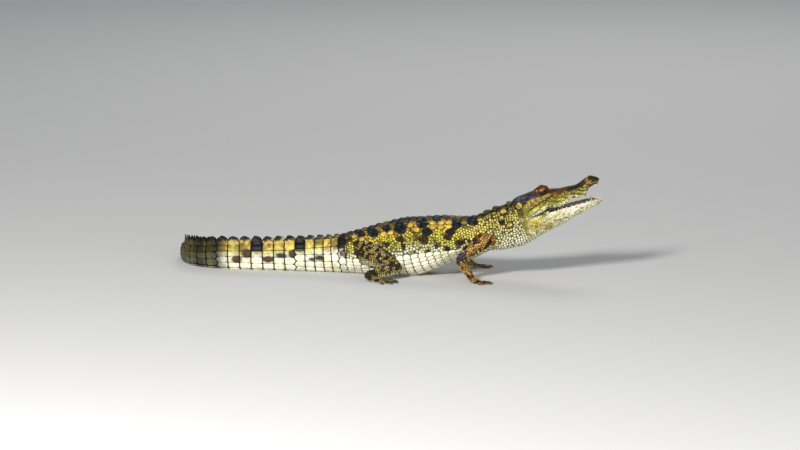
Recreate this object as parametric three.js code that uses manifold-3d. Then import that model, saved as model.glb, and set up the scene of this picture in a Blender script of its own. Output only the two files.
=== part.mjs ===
// A young mugger crocodile at rest: belly, tail and feet on the ground, chest pushed up on the forelegs,
// neck and head raised, jaws a little apart, the tail's end curled away behind.
// Millimetres, +Z up, the head points to +X and the animal's right side faces -Y.
// The origin is on the floor, in the middle of the belly's resting flat.
import * as THREE from "three";
import { mergeVertices } from "three/addons/utils/BufferGeometryUtils.js";
import Module from "manifold-3d";

const wasm = await Module();
wasm.setup();

// ---------------------------------------------------------------- driving dimensions
const GAP = 0.3; // clearance between two pieces that touch
const SIDES_BODY = 14;
const SIDES_LIMB = 8;
const SIDES_DIGIT = 4;
const SLICES = { neck: 8, trunk: 12, tail: 6, skull: 16, jaw: 14 }; // lengths that each loft is divided into
const ROUND_BACK = 2.25; // superellipse power of the upper half of the body's section
const ROUND_BELLY = 2.5; // and of its lower half

// Neck, trunk and tail: [x, y, top z, bottom z, half width] from inside the head to the tail's tip.
// A bottom below zero is pressed flat on the floor.
const BODY = [
  [288, -44, 172, 104, 36],
  [262, -44, 173, 78, 43],
  [228, -43, 167, 63, 46],
  [193, -40, 152, 57.5, 47],
  [155, -35, 137, 53, 50],
  [116, -27, 133.5, 38, 57],
  [66, -15, 133.5, 19, 66],
  [10, -2, 128, -4, 71],
  [-45, 9, 115, -5, 67],
  [-100, 19, 98, -5, 56],
  [-138, 26, 87, -4, 45],
  [-175, 32, 78, -3, 38],
  [-235, 40, 72, -3, 30.5],
  [-297, 48, 67, -3, 25.5],
  [-355, 55, 63.5, -3, 21.5],
  [-410, 65, 60.5, -3, 18.5],
  [-454, 82, 55.5, -3, 16],
  [-487, 111, 50, -3, 14],
  [-506, 153, 44, -3, 12.5],
  [-513, 202, 38, -3, 11],
  [-509, 251, 32, -2.5, 9],
  [-495, 298, 25, -2, 7.5],
  [-472, 341, 17, -2, 5.5],
  [-443, 376, 8, -1.5, 3],
];
const TRUNK_FROM = 4; // station where the neck meets the trunk
const TAIL_FROM = 10; // station of the vent, where the tail starts
const TAIL_CUTS = [13, 16, 19]; // stations where the tail is divided

// Tail crest: two rows of upright scutes that draw together, then a single row.
const DOUBLE_WHORLS = 17;
const SINGLE_WHORLS = 16;
// Whorl lengths before they are fitted to the tail: they grow over the first whorls, then shrink one by one.
const WHORL = { first: 16, longest: 26, growing: 10, shrinking: 0.72 };
const CREST = { first: 4, highest: 21, last: 7, power: 0.7 }; // heights along the tail
const CREST_SPREAD = { first: 20, last: 4.5 }; // distance of the two rows from the midline
// One upright scute: where its four corners stand in the whorl, how high, how thick and how deep.
const SCUTE = {
  root: -4,
  front: { foot: 0.03, top: 0.22, rise: 0.72 },
  back: { foot: 0.97, top: 0.98, rise: 1 },
  footThick: 2.4,
  topThick: 0.7,
  slender: { below: 8, scale: 0.8 }, // where the tail is thinner than this, so are the scutes
};

// Large keeled scutes on the neck: [station, distance from the midline, half length, half width, height]
const NUCHAL = [
  [2.16, 30, 9, 9.5, 4.5],
  [1.82, 9, 8.5, 8, 5],
  [2.67, 10, 10.5, 9.5, 5.5],
  [3.28, 10.5, 11, 9.5, 5.5],
];
const NUCHAL_SIDES = 6;
const NUCHAL_ROOT = 6;

// Head: the back of the skull table, how far the head is pitched up, and the plane that ends the neck.
const OCCIPUT = [235, -43, 177.5];
const HEAD_PITCH = 22;
const NECK_PLANE_U = -8; // along the head, from the occiput
const SKULL_SIDES = { over: 12, under: 4 };
// Upper head: [along u, top w, lip w, half width at the lip, half width on top, boxiness]
const SKULL = [
  [-16, -8, -50, 47, 24, 3.2],
  [0, -1, -50, 51, 25.5, 4.2],
  [20, 0, -50, 51, 25, 4.6],
  [42, 0, -48, 47, 23, 4.4],
  [62, -1, -46.5, 43, 22, 3.6],
  [80, -9, -50, 39, 19, 3.0],
  [100, -16, -50, 35, 17, 2.8],
  [119, -20, -44, 32.5, 17, 2.7],
  [137, -22.5, -49, 31.5, 17, 2.7],
  [149, -20.5, -50.5, 27.5, 16, 2.6],
  [161, -17, -40, 21.5, 14, 2.6],
  [173, -15.5, -35.5, 23, 13, 2.6],
  [184, -21, -36.5, 18, 11, 2.4],
  [191, -28, -36, 8, 5, 2.2],
];
const PALATE_RISE = 4; // the palate lies this far above the lip line
const PALATE_POWER = 0.7;
const SKULL_TAPER = 1.5; // how late the sides draw in towards the top
// Lower jaw about its joint: [along u, top w, bottom w, half width]
const JAW_JOINT = [238, -43, 137];
const JAW_PITCH = 14;
const JAW = [
  [-26, -8, -61, 41],
  [0, -6, -66, 49],
  [30, -3.5, -60, 50],
  [56, -3.5, -52, 46.5],
  [72, -5.5, -48, 43.5],
  [90, -5, -44.5, 39.5],
  [107, -4.5, -40, 35.5],
  [127, -5, -34, 32],
  [147, -4.5, -29, 30],
  [165, -4, -25, 26],
  [180, -5.5, -21, 19],
  [191, -8, -18, 11],
  [195, -10, -15, 4],
];
const JAW_SIDES = { over: 4, under: 10 };
const JAW_BOXINESS = 2.4;
const MOUTH_FLOOR_DIP = 3;
const TONGUE = { u: 106, w: -10.5, long: 44, wide: 19, thick: 4.5 }; // half sizes, in the lower jaw's frame
const EYE = { u: 62, side: 19, w: -5.5, radius: 9.5 };
// The dome over the eye, in half sizes.
const LID = { u: 61, side: 16, w: -5.5, long: 15, wide: 9, high: 10.5 };
const BALL_SIDES = { around: 8, down: 6 };
const LID_SIDES = { around: 9, down: 6 };
// Teeth: how deep the root is, how far in from the jaw's edge they stand, their radius and lean outwards.
const TOOTH_ROOT = 4;
const UPPER_TOOTH = { inset: 3.2, radius: 1.7, lean: 0.12, sunk: 1 };
const LOWER_TOOTH = { inset: 3.4, radius: 1.6, lean: 0.15, sunk: 1 };
const FRONT_TEETH = { from: 11.9, back: 2, least: 2 }; // the snout's end draws its teeth back from the edge

// Teeth along a jaw's edge: [station, length], on both sides.
const UPPER_TEETH = [
  [12.45, 3],
  [12.1, 3.5],
  [11.6, 5],
  [11.1, 4],
  [9.35, 3.5],
  [8.85, 4.5],
  [8.45, 6],
  [8.05, 5],
  [7.5, 3.5],
  [7.05, 3.5],
  [6.6, 3.5],
  [6.2, 4],
  [5.8, 3.5],
  [5.4, 3],
];
const LOWER_TEETH = [
  [11.4, 5],
  [10.8, 4],
  [10.2, 4],
  [9.5, 7],
  [8.8, 3.5],
  [8.2, 3.5],
  [7.6, 4],
  [7.0, 4.5],
  [6.4, 4],
  [5.9, 3.5],
  [5.4, 3.5],
  [4.9, 3],
];

// Limbs: each part runs along points [x, y, z, half width, half thickness] with rounded ends.
const RIGHT_ARM = {
  upper: [
    [190, -60, 91, 18, 22],
    [168, -79, 82, 18, 21],
    [138, -97, 66, 16, 18],
    [115, -110, 51, 13, 14],
  ],
  lower: [
    [113, -110, 46, 11.5, 12.5],
    [122, -123, 32, 11, 11],
    [134, -136, 16, 8.5, 8],
  ],
  palm: [
    [134, -136, 13, 9, 7.5],
    [145, -144, 5.5, 11.5, 6.5],
    [155, -150, 3, 12.5, 5],
  ],
  heading: -28,
};
const LEFT_ARM = {
  upper: [
    [164, -18, 88, 17, 21],
    [146, 4, 78, 17, 19],
    [124, 27, 61, 14.5, 16],
    [108, 46, 47, 12, 13],
  ],
  lower: [
    [108, 46, 45, 11.5, 12.5],
    [121, 57, 31, 11, 11],
    [136, 67, 16, 8.5, 8],
  ],
  palm: [
    [136, 67, 13, 9, 7.5],
    [148, 73, 5.5, 11.5, 6.5],
    [159, 77, 3, 12.5, 5],
  ],
  heading: 20,
};
const RIGHT_LEG = {
  upper: [
    [-104, -6, 56, 24, 27],
    [-84, -38, 48, 23, 25],
    [-54, -68, 36, 19, 20],
    [-31, -88, 27, 14.5, 15],
  ],
  lower: [
    [-33, -89, 25, 14, 14],
    [-62, -100, 19, 13, 12.5],
    [-94, -109, 13, 9.5, 9],
  ],
  palm: [
    [-94, -109, 10, 10, 8],
    [-80, -119, 5, 13, 6],
    [-66, -128, 3, 15, 5],
  ],
  heading: -35,
};
const LEFT_LEG = {
  upper: [
    [-104, 44, 56, 24, 27],
    [-88, 76, 48, 23, 25],
    [-64, 106, 36, 19, 20],
    [-46, 128, 27, 14.5, 15],
  ],
  lower: [
    [-48, 129, 25, 14, 14],
    [-79, 139, 19, 13, 12.5],
    [-111, 146, 13, 9.5, 9],
  ],
  palm: [
    [-111, 146, 10, 10, 8],
    [-98, 157, 5, 13, 6],
    [-85, 167, 3, 15, 5],
  ],
  heading: 38,
};
// Digits: turn from the heading towards the outer side, length, and whether it has a claw.
const FINGERS = [
  { turn: -52, length: 17, claw: true },
  { turn: -24, length: 22, claw: true },
  { turn: 0, length: 24, claw: true },
  { turn: 24, length: 20, claw: false },
  { turn: 50, length: 15, claw: false },
];
const TOES = [
  { turn: -34, length: 29, claw: true },
  { turn: -10, length: 36, claw: true },
  { turn: 13, length: 37, claw: true },
  { turn: 37, length: 30, claw: false },
];
const FINGER_RADIUS = 3.6;
const TOE_RADIUS = 4.4;
const CLAW_LENGTH = 10;
// A limb's rounded end: how far out it reaches, and its share of the girth; and that share for a claw's tip.
const LIMB_END = { reach: 0.75, scale: 0.62 };
const CLAW_TIP = 0.16;
const DIGIT_SPREAD = 0.75; // share of the palm's half width that the digits' roots are spread over
const DIGIT_SET_BACK = 2;
const DIGIT_FLATNESS = 0.95;
// Along a digit and its claw: share of the length, height of the axis and half width, both in digit radii.
const DIGIT = [
  [0, 0.72, 1.15],
  [0.45, 0.62, 1],
  [1, 0.5, 0.8],
];
const CLAW = { from: 0.94, axis: [0.6, 0.62, 0.35], girth: [0.55, 0.42, 0.3] };

const COLOURS = {
  back: 0x6f6a2c,
  flank: 0x9a9440,
  tail: 0x7d7638,
  head: 0x7b7440,
  jaw: 0xd8d3a8,
  limb: 0x6a4f2c,
  claw: 0x2a221a,
  eye: 0xb08a2e,
  mouth: 0xd9b09a,
};

// ---------------------------------------------------------------- small helpers
const radians = THREE.MathUtils.degToRad;
const vector = (p) => new THREE.Vector3(p[0], p[1], p[2]);
const UP = new THREE.Vector3(0, 0, 1);

// A smooth curve through triples of numbers, read by station number.
function through(triples) {
  const curve = new THREE.CatmullRomCurve3(triples.map(vector), false, "catmullrom", 0.5);
  const last = triples.length - 1;
  return {
    at: (station) => curve.getPoint(station / last),
    along: (station) => curve.getTangent(station / last),
  };
}

// A number raised to a power with its sign kept.
const signedPower = (x, power) => Math.sign(x) * Math.abs(x) ** power;

// One closed shell through rings of equal length, with a fan on each end.
function shell(rings) {
  const n = rings[0].length;
  const points = rings.flat();
  const middle = (ring) => ring.reduce((sum, p) => sum.add(p), new THREE.Vector3()).divideScalar(n);
  const first = points.push(middle(rings[0])) - 1;
  const last = points.push(middle(rings.at(-1))) - 1;
  const faces = [];
  for (let r = 0; r + 1 < rings.length; r++)
    for (let i = 0; i < n; i++) {
      const a = r * n + i;
      const b = r * n + ((i + 1) % n);
      faces.push(a, b, b + n, a, b + n, a + n);
    }
  const end = (rings.length - 1) * n;
  for (let i = 0; i < n; i++) {
    faces.push(first, (i + 1) % n, i);
    faces.push(last, end + i, end + ((i + 1) % n));
  }
  const geometry = new THREE.BufferGeometry().setFromPoints(points);
  geometry.setIndex(faces);
  return geometry;
}

// A manifold-3d solid of a closed geometry.
function solid(geometry) {
  const bare = new THREE.BufferGeometry().setAttribute("position", geometry.getAttribute("position"));
  bare.setIndex(geometry.getIndex());
  const merged = mergeVertices(bare, 1e-3);
  const mesh = new wasm.Mesh({
    numProp: 3,
    vertProperties: merged.attributes.position.array,
    triVerts: new Uint32Array(merged.index.array),
  });
  const made = new wasm.Manifold(mesh);
  if (made.volume() > 0) return made;
  for (let i = 0; i < mesh.triVerts.length; i += 3)
    [mesh.triVerts[i + 1], mesh.triVerts[i + 2]] = [mesh.triVerts[i + 2], mesh.triVerts[i + 1]];
  return new wasm.Manifold(mesh);
}

const joined = (solids) => solids.reduce((a, b) => a.add(b));

// The largest single body of a solid, which drops slivers left by a cut.
function largest(made) {
  return made.decompose().reduce((a, b) => (a.volume() > b.volume() ? a : b));
}

// The part of a solid on the side of a plane that its normal points to.
const beyond = (made, normal, offset) => made.trimByPlane(normal.toArray(), offset);

// ---------------------------------------------------------------- neck, trunk and tail
const spine = through(BODY.map(([x, y, top, bottom]) => [x, y, (top + bottom) / 2]));
const girth = through(BODY.map(([, , top, bottom, width]) => [width, (top - bottom) / 2, 0]));

// The middle, axes and half sizes of the body's section at a station.
function section(station) {
  const middle = spine.at(station);
  const along = spine.along(station);
  const side = new THREE.Vector3().crossVectors(along, UP).normalize();
  const up = new THREE.Vector3().crossVectors(side, along);
  const size = girth.at(station);
  return { middle, along, side, up, width: size.x, height: size.y * up.z };
}

// A point of the body's skin: angle 0 is the midline of the back, and it grows towards the left side.
function bodyPoint(station, angle, grow = 0, shift = 0) {
  const s = section(station);
  const c = Math.cos(angle);
  const power = 2 / (c > 0 ? ROUND_BACK : ROUND_BELLY);
  const across = signedPower(Math.sin(angle), power) * (s.width + grow);
  const high = signedPower(c, power) * (s.height + grow);
  const p = s.middle.clone().addScaledVector(s.side, across).addScaledVector(s.up, high);
  p.addScaledVector(s.along, shift);
  p.z = Math.max(p.z, -grow);
  return p;
}

function bodyRing(station, grow, shift) {
  return Array.from({ length: SIDES_BODY }, (_, i) =>
    bodyPoint(station, (2 * Math.PI * (i + 0.5)) / SIDES_BODY, grow, shift),
  );
}

// The body between two stations, drawn back by half a gap at each end.
function bodyLength(from, to, steps, grow = 0) {
  const rings = [];
  for (let i = 0; i <= steps; i++) {
    const shift = i === 0 ? GAP / 2 : i === steps ? -GAP / 2 : 0;
    rings.push(bodyRing(from + ((to - from) * i) / steps, grow, grow ? 0 : shift));
  }
  return solid(shell(rings));
}

// Where each whorl of the tail starts and ends, as stations.
function whorlStations() {
  const count = DOUBLE_WHORLS + SINGLE_WHORLS;
  const { first, longest, growing, shrinking } = WHORL;
  const pitch = (k) =>
    k <= growing
      ? first + (longest - first) * Math.sin((k / growing) * (Math.PI / 2))
      : longest - shrinking * (k - growing - 1);
  const steps = 400;
  const last = BODY.length - 1;
  const reached = [0];
  for (let i = 1; i <= steps; i++) {
    const a = spine.at(TAIL_FROM + ((last - TAIL_FROM) * (i - 1)) / steps);
    const b = spine.at(TAIL_FROM + ((last - TAIL_FROM) * i) / steps);
    reached.push(reached[i - 1] + a.distanceTo(b));
  }
  const total = Array.from({ length: count }, (_, k) => pitch(k)).reduce((a, b) => a + b);
  const stations = [TAIL_FROM];
  let sum = 0;
  for (let k = 0; k < count; k++) {
    sum += pitch(k);
    const goal = (sum / total) * reached[steps];
    const i = Math.max(1, reached.findIndex((d) => d >= goal - 1e-6));
    const share = (goal - reached[i - 1]) / (reached[i] - reached[i - 1]);
    stations.push(TAIL_FROM + ((last - TAIL_FROM) * (i - 1 + share)) / steps);
  }
  return stations;
}

// How high a whorl's crest stands, and how far each row stands from the midline.
function crestHeight(k) {
  const { first, highest, last, power } = CREST;
  if (k < DOUBLE_WHORLS) return first + (highest - first) * (k / DOUBLE_WHORLS) ** power;
  return highest - ((highest - last) * (k - DOUBLE_WHORLS)) / SINGLE_WHORLS;
}

function crestOffset(k) {
  const { first, last } = CREST_SPREAD;
  return k < DOUBLE_WHORLS ? first - ((first - last) * k) / DOUBLE_WHORLS : 0;
}

// One upright scute, a box whose top is drawn up, back and thin.
function crestScute(k, from, to, side) {
  const geometry = new THREE.BoxGeometry(1, 1, 1);
  const position = geometry.getAttribute("position");
  const high = crestHeight(k);
  const p = new THREE.Vector3();
  for (let i = 0; i < position.count; i++) {
    p.fromBufferAttribute(position, i);
    const isTop = p.z > 0;
    const edge = p.x > 0 ? SCUTE.back : SCUTE.front;
    const station = THREE.MathUtils.lerp(from, to, isTop ? edge.top : edge.foot);
    const s = section(station);
    const out = side * crestOffset(k);
    const slope = Math.min(1, Math.abs(out) / s.width);
    const lift = s.height * (1 - slope ** ROUND_BACK) ** (1 / ROUND_BACK);
    const rise = isTop ? high * edge.rise : SCUTE.root;
    const slim = s.width > SCUTE.slender.below ? 1 : SCUTE.slender.scale;
    const thick = (isTop ? SCUTE.topThick : SCUTE.footThick) * slim;
    const q = s.middle.clone();
    q.addScaledVector(s.side, -out - Math.sign(p.y) * thick);
    q.addScaledVector(s.up, lift + rise);
    position.setXYZ(i, q.x, q.y, q.z);
  }
  return solid(geometry);
}

const whorls = whorlStations();

// The tail between two stations, with the crest scutes that stand on it.
function tailLength(from, to, steps) {
  const plain = bodyLength(from, to, steps);
  const scutes = [];
  for (let k = 0; k + 1 < whorls.length; k++) {
    const middle = (whorls[k] + whorls[k + 1]) / 2;
    if (middle < from || middle > to) continue;
    const sides = k < DOUBLE_WHORLS ? [-1, 1] : [0];
    for (const side of sides) scutes.push(crestScute(k, whorls[k], whorls[k + 1], side));
  }
  // Scutes that lean over the cut are trimmed there, half a gap short of the next length.
  const ends = [section(from), section(to)];
  let made = joined([plain, ...scutes]);
  const front = ends[0].along;
  made = beyond(made, front, ends[0].middle.dot(front) + GAP / 2);
  const back = ends[1].along.clone().negate();
  if (to < BODY.length - 1) made = beyond(made, back, ends[1].middle.dot(back) + GAP / 2);
  return largest(made);
}

// ---------------------------------------------------------------- head
const pitched = (origin, pitch) => {
  const along = new THREE.Vector3(Math.cos(radians(pitch)), 0, Math.sin(radians(pitch)));
  const up = new THREE.Vector3(-along.z, 0, along.x);
  return {
    along,
    point: (u, side, w) =>
      vector(origin).addScaledVector(along, u).addScaledVector(up, w).add(new THREE.Vector3(0, side, 0)),
  };
};
const headFrame = pitched(OCCIPUT, HEAD_PITCH);
const jawFrame = pitched(JAW_JOINT, JAW_PITCH);
const neckPlane = headFrame.point(NECK_PLANE_U, 0, 0).dot(headFrame.along);

const skullSize = through(SKULL.map(([u, top, lip]) => [u, top, lip]));
const skullWidth = through(SKULL.map(([, , , low, high, box]) => [low, high, box]));

// A ring of the upper head: over the top from lip to lip, then back along the palate.
function skullRing(station, grow) {
  const { x: u, y: top, z: lip } = skullSize.at(station);
  const { x: low, y: high, z: box } = skullWidth.at(station);
  const { over, under } = SKULL_SIDES;
  const ring = [];
  for (let i = 0; i <= over; i++) {
    const angle = (Math.PI * i) / over;
    const rise = Math.sin(angle) ** (2 / box);
    const wide = low + (high - low) * rise ** SKULL_TAPER + grow;
    const side = signedPower(Math.cos(angle), 2 / box) * wide;
    ring.push(headFrame.point(u, side, lip + (top + grow - lip) * rise - (i % over ? 0 : grow)));
  }
  for (let i = 1; i < under; i++) {
    const share = i / under;
    const dome = PALATE_RISE * Math.sin(Math.PI * share) ** PALATE_POWER;
    ring.push(headFrame.point(u, -(low + grow) * (1 - 2 * share), lip + dome - grow));
  }
  return ring;
}

function lofted(ring, count, steps, grow = 0) {
  const rings = [];
  for (let i = 0; i <= steps; i++) rings.push(ring(((count - 1) * i) / steps, grow));
  return solid(shell(rings));
}

const jawSize = through(JAW.map(([u, top, bottom]) => [u, top, bottom]));
const jawWidth = through(JAW.map(([, , , width]) => [width, 0, 0]));

// A ring of the lower jaw: a flat floor of the mouth above, the rounded chin and throat below.
function jawRing(station, grow) {
  const { x: u, y: top, z: bottom } = jawSize.at(station);
  const width = jawWidth.at(station).x;
  const { over, under } = JAW_SIDES;
  const power = 2 / JAW_BOXINESS;
  const ring = [];
  for (let i = 0; i <= under; i++) {
    const angle = (Math.PI * i) / under;
    const side = signedPower(Math.cos(angle), power) * (width + grow);
    ring.push(jawFrame.point(u, side, top - (top - bottom + grow) * Math.sin(angle) ** power));
  }
  for (let i = 1; i < over; i++) {
    const share = i / over;
    const dip = MOUTH_FLOOR_DIP * Math.sin(Math.PI * share);
    ring.push(jawFrame.point(u, -(width + grow) * (1 - 2 * share), top - dip + grow));
  }
  return ring;
}

// A tooth is a four-sided cone with its root sunk in the jaw.
function tooth(root, way, length, radius) {
  const geometry = new THREE.ConeGeometry(radius, length + TOOTH_ROOT, 4);
  geometry.translate(0, (length - TOOTH_ROOT) / 2, 0);
  const turn = new THREE.Quaternion().setFromUnitVectors(new THREE.Vector3(0, 1, 0), way.clone().normalize());
  geometry.applyQuaternion(turn);
  geometry.translate(root.x, root.y, root.z);
  return solid(geometry);
}

function upperTeeth() {
  const down = headFrame.point(0, 0, -1).sub(headFrame.point(0, 0, 0));
  return UPPER_TEETH.flatMap(([station, length]) =>
    [-1, 1].map((side) => {
      const { x: u, z: lip } = skullSize.at(station);
      const { inset, radius, lean, sunk } = UPPER_TOOTH;
      const wide = Math.max(skullWidth.at(station).x - inset, FRONT_TEETH.least);
      const back = station > FRONT_TEETH.from ? FRONT_TEETH.back : 0;
      const root = headFrame.point(u - back, side * wide, lip + sunk);
      return tooth(root, down.clone().setY(side * lean), length + sunk, radius);
    }),
  );
}

function lowerTeeth() {
  const up = jawFrame.point(0, 0, 1).sub(jawFrame.point(0, 0, 0));
  return LOWER_TEETH.flatMap(([station, length]) =>
    [-1, 1].map((side) => {
      const { x: u, y: top } = jawSize.at(station);
      const { inset, radius, lean, sunk } = LOWER_TOOTH;
      const root = jawFrame.point(u, side * (jawWidth.at(station).x - inset), top - sunk);
      return tooth(root, up.clone().setY(side * lean), length + sunk, radius);
    }),
  );
}

// The keeled scutes of the neck, each a low pyramid that leans with the neck's side.
function nuchalScutes() {
  return NUCHAL.flatMap(([station, out, long, wide, high]) =>
    [-1, 1].map((side) => {
      const s = section(station);
      const slope = out / s.width;
      const lift = s.height * (1 - slope ** ROUND_BACK) ** (1 / ROUND_BACK);
      const steepness = (s.height / s.width) * slope ** (ROUND_BACK - 1);
      const tilt = Math.atan(steepness / (1 - slope ** ROUND_BACK) ** (1 - 1 / ROUND_BACK));
      const geometry = new THREE.ConeGeometry(1, high + NUCHAL_ROOT, NUCHAL_SIDES);
      geometry.scale(wide, 1, long);
      geometry.translate(0, (high - NUCHAL_ROOT) / 2, 0);
      geometry.applyMatrix4(new THREE.Matrix4().makeRotationZ(side * tilt));
      geometry.applyMatrix4(new THREE.Matrix4().makeBasis(s.side, s.up, s.along.clone().negate()));
      const at = s.middle.clone().addScaledVector(s.side, -side * out).addScaledVector(s.up, lift);
      geometry.translate(at.x, at.y, at.z);
      return solid(geometry);
    }),
  );
}

// ---------------------------------------------------------------- limbs
// A tapered limb along stations, with rounded or pointed ends, flattened where it meets the floor.
function limb(stations, sides, grow = 0, pointed = false) {
  const path = through(stations.map(([x, y, z]) => [x, y, z]));
  const size = through(stations.map(([, , , wide, thick]) => [wide, thick, 0]));
  const last = stations.length - 1;
  const steps = pointed || sides === SIDES_DIGIT ? last : last * 2;
  const rings = [];
  const ring = (station, shift, scale) => {
    const along = path.along(station);
    const side = new THREE.Vector3().crossVectors(along, UP).normalize();
    const up = new THREE.Vector3().crossVectors(side, along);
    const { x: wide, y: thick } = size.at(station);
    rings.push(
      Array.from({ length: sides }, (_, i) => {
        const angle = (2 * Math.PI * (i + 0.5)) / sides;
        const p = path.at(station).addScaledVector(along, shift * (Math.min(wide, thick) + grow));
        p.addScaledVector(side, Math.sin(angle) * (wide + grow) * scale);
        p.addScaledVector(up, Math.cos(angle) * (thick + grow) * scale);
        p.z = Math.max(p.z, -grow);
        return p;
      }),
    );
  };
  ring(0, -LIMB_END.reach, LIMB_END.scale);
  for (let i = 0; i <= steps; i++) ring((last * i) / steps, 0, pointed && i === steps ? CLAW_TIP : 1);
  if (!pointed) ring(last, LIMB_END.reach, LIMB_END.scale);
  return solid(shell(rings));
}

// The stations of one digit, lying on the floor from the palm's end.
function digitStations(limbShape, digit, radius, outward) {
  const end = vector(limbShape.palm.at(-1));
  const heading = radians(limbShape.heading + digit.turn * outward);
  const way = new THREE.Vector3(Math.cos(heading), Math.sin(heading), 0);
  const across = radians(limbShape.heading + 90);
  const spread = Math.sin(radians(digit.turn)) * outward * limbShape.palm.at(-1)[3] * DIGIT_SPREAD;
  const start = end
    .clone()
    .add(new THREE.Vector3(Math.cos(across) * spread, Math.sin(across) * spread, 0))
    .addScaledVector(way, -DIGIT_SET_BACK);
  const station = ([share, high, girth]) => {
    const p = start.clone().addScaledVector(way, digit.length * share);
    return [p.x, p.y, high * radius, radius * girth, radius * girth * DIGIT_FLATNESS];
  };
  const reach = CLAW_LENGTH / digit.length;
  const shares = [CLAW.from, 1 + reach / 2, 1 + reach];
  return {
    stations: DIGIT.map(station),
    clawStations: shares.map((share, i) => station([share, CLAW.axis[i], CLAW.girth[i]])),
  };
}

// All the pieces of one limb, as named solids.
function limbParts(names, shape, digits, radius, outward, trunk) {
  const [upperName, lowerName, palmName, clawName] = names;
  const upper = limb(shape.upper, SIDES_LIMB + 2).subtract(trunk);
  const upperRoom = limb(shape.upper, SIDES_LIMB + 2, GAP);
  const lower = limb(shape.lower, SIDES_LIMB).subtract(upperRoom).subtract(trunk);
  const lowerRoom = limb(shape.lower, SIDES_LIMB, GAP);
  const laid = digits.map((digit) => ({ ...digitStations(shape, digit, radius, outward), ...digit }));
  const palm = joined([
    limb(shape.palm, SIDES_LIMB),
    ...laid.map((digit) => limb(digit.stations, SIDES_DIGIT)),
  ]);
  const foot = palm.subtract(lowerRoom).subtract(upperRoom);
  const parts = [
    [upperName, largest(upper), COLOURS.limb],
    [lowerName, largest(lower), COLOURS.limb],
    [palmName, largest(foot), COLOURS.limb],
  ];
  laid.forEach((digit, i) => {
    if (!digit.claw) return;
    const room = joined(laid.map((other) => limb(other.stations, SIDES_DIGIT, GAP)));
    const claw = limb(digit.clawStations, SIDES_DIGIT, 0, true).subtract(room);
    parts.push([`${clawName}_${i + 1}`, largest(claw), COLOURS.claw]);
  });
  return parts;
}

// ---------------------------------------------------------------- the whole animal
const crocodile = new THREE.Group();

function place(name, made, colour) {
  const mesh = made.getMesh();
  const geometry = new THREE.BufferGeometry();
  const positions = new Float32Array(mesh.numVert * 3);
  for (let i = 0; i < mesh.numVert; i++)
    for (let axis = 0; axis < 3; axis++)
      positions[3 * i + axis] = mesh.vertProperties[mesh.numProp * i + axis];
  geometry.setAttribute("position", new THREE.BufferAttribute(positions, 3));
  geometry.setIndex(new THREE.BufferAttribute(mesh.triVerts, 1));
  const material = new THREE.MeshStandardMaterial({ color: colour, roughness: 0.6, metalness: 0 });
  const placed = new THREE.Mesh(geometry, material);
  placed.name = name;
  crocodile.add(placed);
}

function buildHead() {
  const behind = headFrame.along;
  const eyeAt = (side, grow = 0) => {
    const geometry = new THREE.SphereGeometry(EYE.radius + grow, BALL_SIDES.around, BALL_SIDES.down);
    const at = headFrame.point(EYE.u, side * EYE.side, EYE.w);
    geometry.translate(at.x, at.y, at.z);
    return solid(geometry);
  };
  const lids = [-1, 1].map((side) => {
    const geometry = new THREE.SphereGeometry(1, LID_SIDES.around, LID_SIDES.down);
    geometry.scale(LID.long, LID.wide, LID.high);
    const at = headFrame.point(LID.u, side * LID.side, LID.w);
    geometry.rotateY(-radians(HEAD_PITCH));
    geometry.translate(at.x, at.y, at.z);
    return solid(geometry);
  });
  const skull = lofted(skullRing, SKULL.length, SLICES.skull);
  const skullRoom = lofted(skullRing, SKULL.length, SLICES.skull, GAP);
  let upper = joined([skull, ...lids]).subtract(eyeAt(-1, GAP)).subtract(eyeAt(1, GAP));
  upper = beyond(joined([upper, ...upperTeeth()]), behind, neckPlane + GAP / 2);
  let jaw = joined([lofted(jawRing, JAW.length, SLICES.jaw), ...lowerTeeth()]);
  jaw = beyond(jaw.subtract(skullRoom), behind, neckPlane + GAP / 2);
  const teethRoom = joined(upperTeeth());
  const tongue = new THREE.SphereGeometry(1, BALL_SIDES.around, BALL_SIDES.down);
  tongue.scale(TONGUE.long, TONGUE.wide, TONGUE.thick);
  tongue.rotateY(-radians(JAW_PITCH));
  const mouthFloor = jawFrame.point(TONGUE.u, 0, TONGUE.w);
  tongue.translate(mouthFloor.x, mouthFloor.y, mouthFloor.z);
  const jawRoom = joined([
    lofted(jawRing, JAW.length, SLICES.jaw, GAP),
    skullRoom,
    ...lowerTeeth(),
    teethRoom,
  ]);
  place("skull", largest(upper), COLOURS.head);
  place("lower_jaw", largest(jaw.subtract(teethRoom)), COLOURS.jaw);
  place("tongue", largest(solid(tongue).subtract(jawRoom)), COLOURS.mouth);
  place("eye_right", eyeAt(-1), COLOURS.eye);
  place("eye_left", eyeAt(1), COLOURS.eye);
}

function buildBody() {
  const neckLoft = joined([bodyLength(0, TRUNK_FROM, SLICES.neck), ...nuchalScutes()]);
  const ahead = headFrame.along.clone().negate();
  const neck = beyond(neckLoft, ahead, -neckPlane + GAP / 2);
  const end = section(TRUNK_FROM);
  const forward = end.along.clone().negate();
  place("neck", largest(beyond(neck, forward, end.middle.dot(forward) + GAP / 2)), COLOURS.flank);
  place("trunk", bodyLength(TRUNK_FROM, TAIL_FROM, SLICES.trunk), COLOURS.back);
  const cuts = [TAIL_FROM, ...TAIL_CUTS, BODY.length - 1];
  const names = ["tail_base", "tail_middle", "tail_rear", "tail_end"];
  names.forEach((name, i) => place(name, tailLength(cuts[i], cuts[i + 1], SLICES.tail), COLOURS.tail));
}

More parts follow.
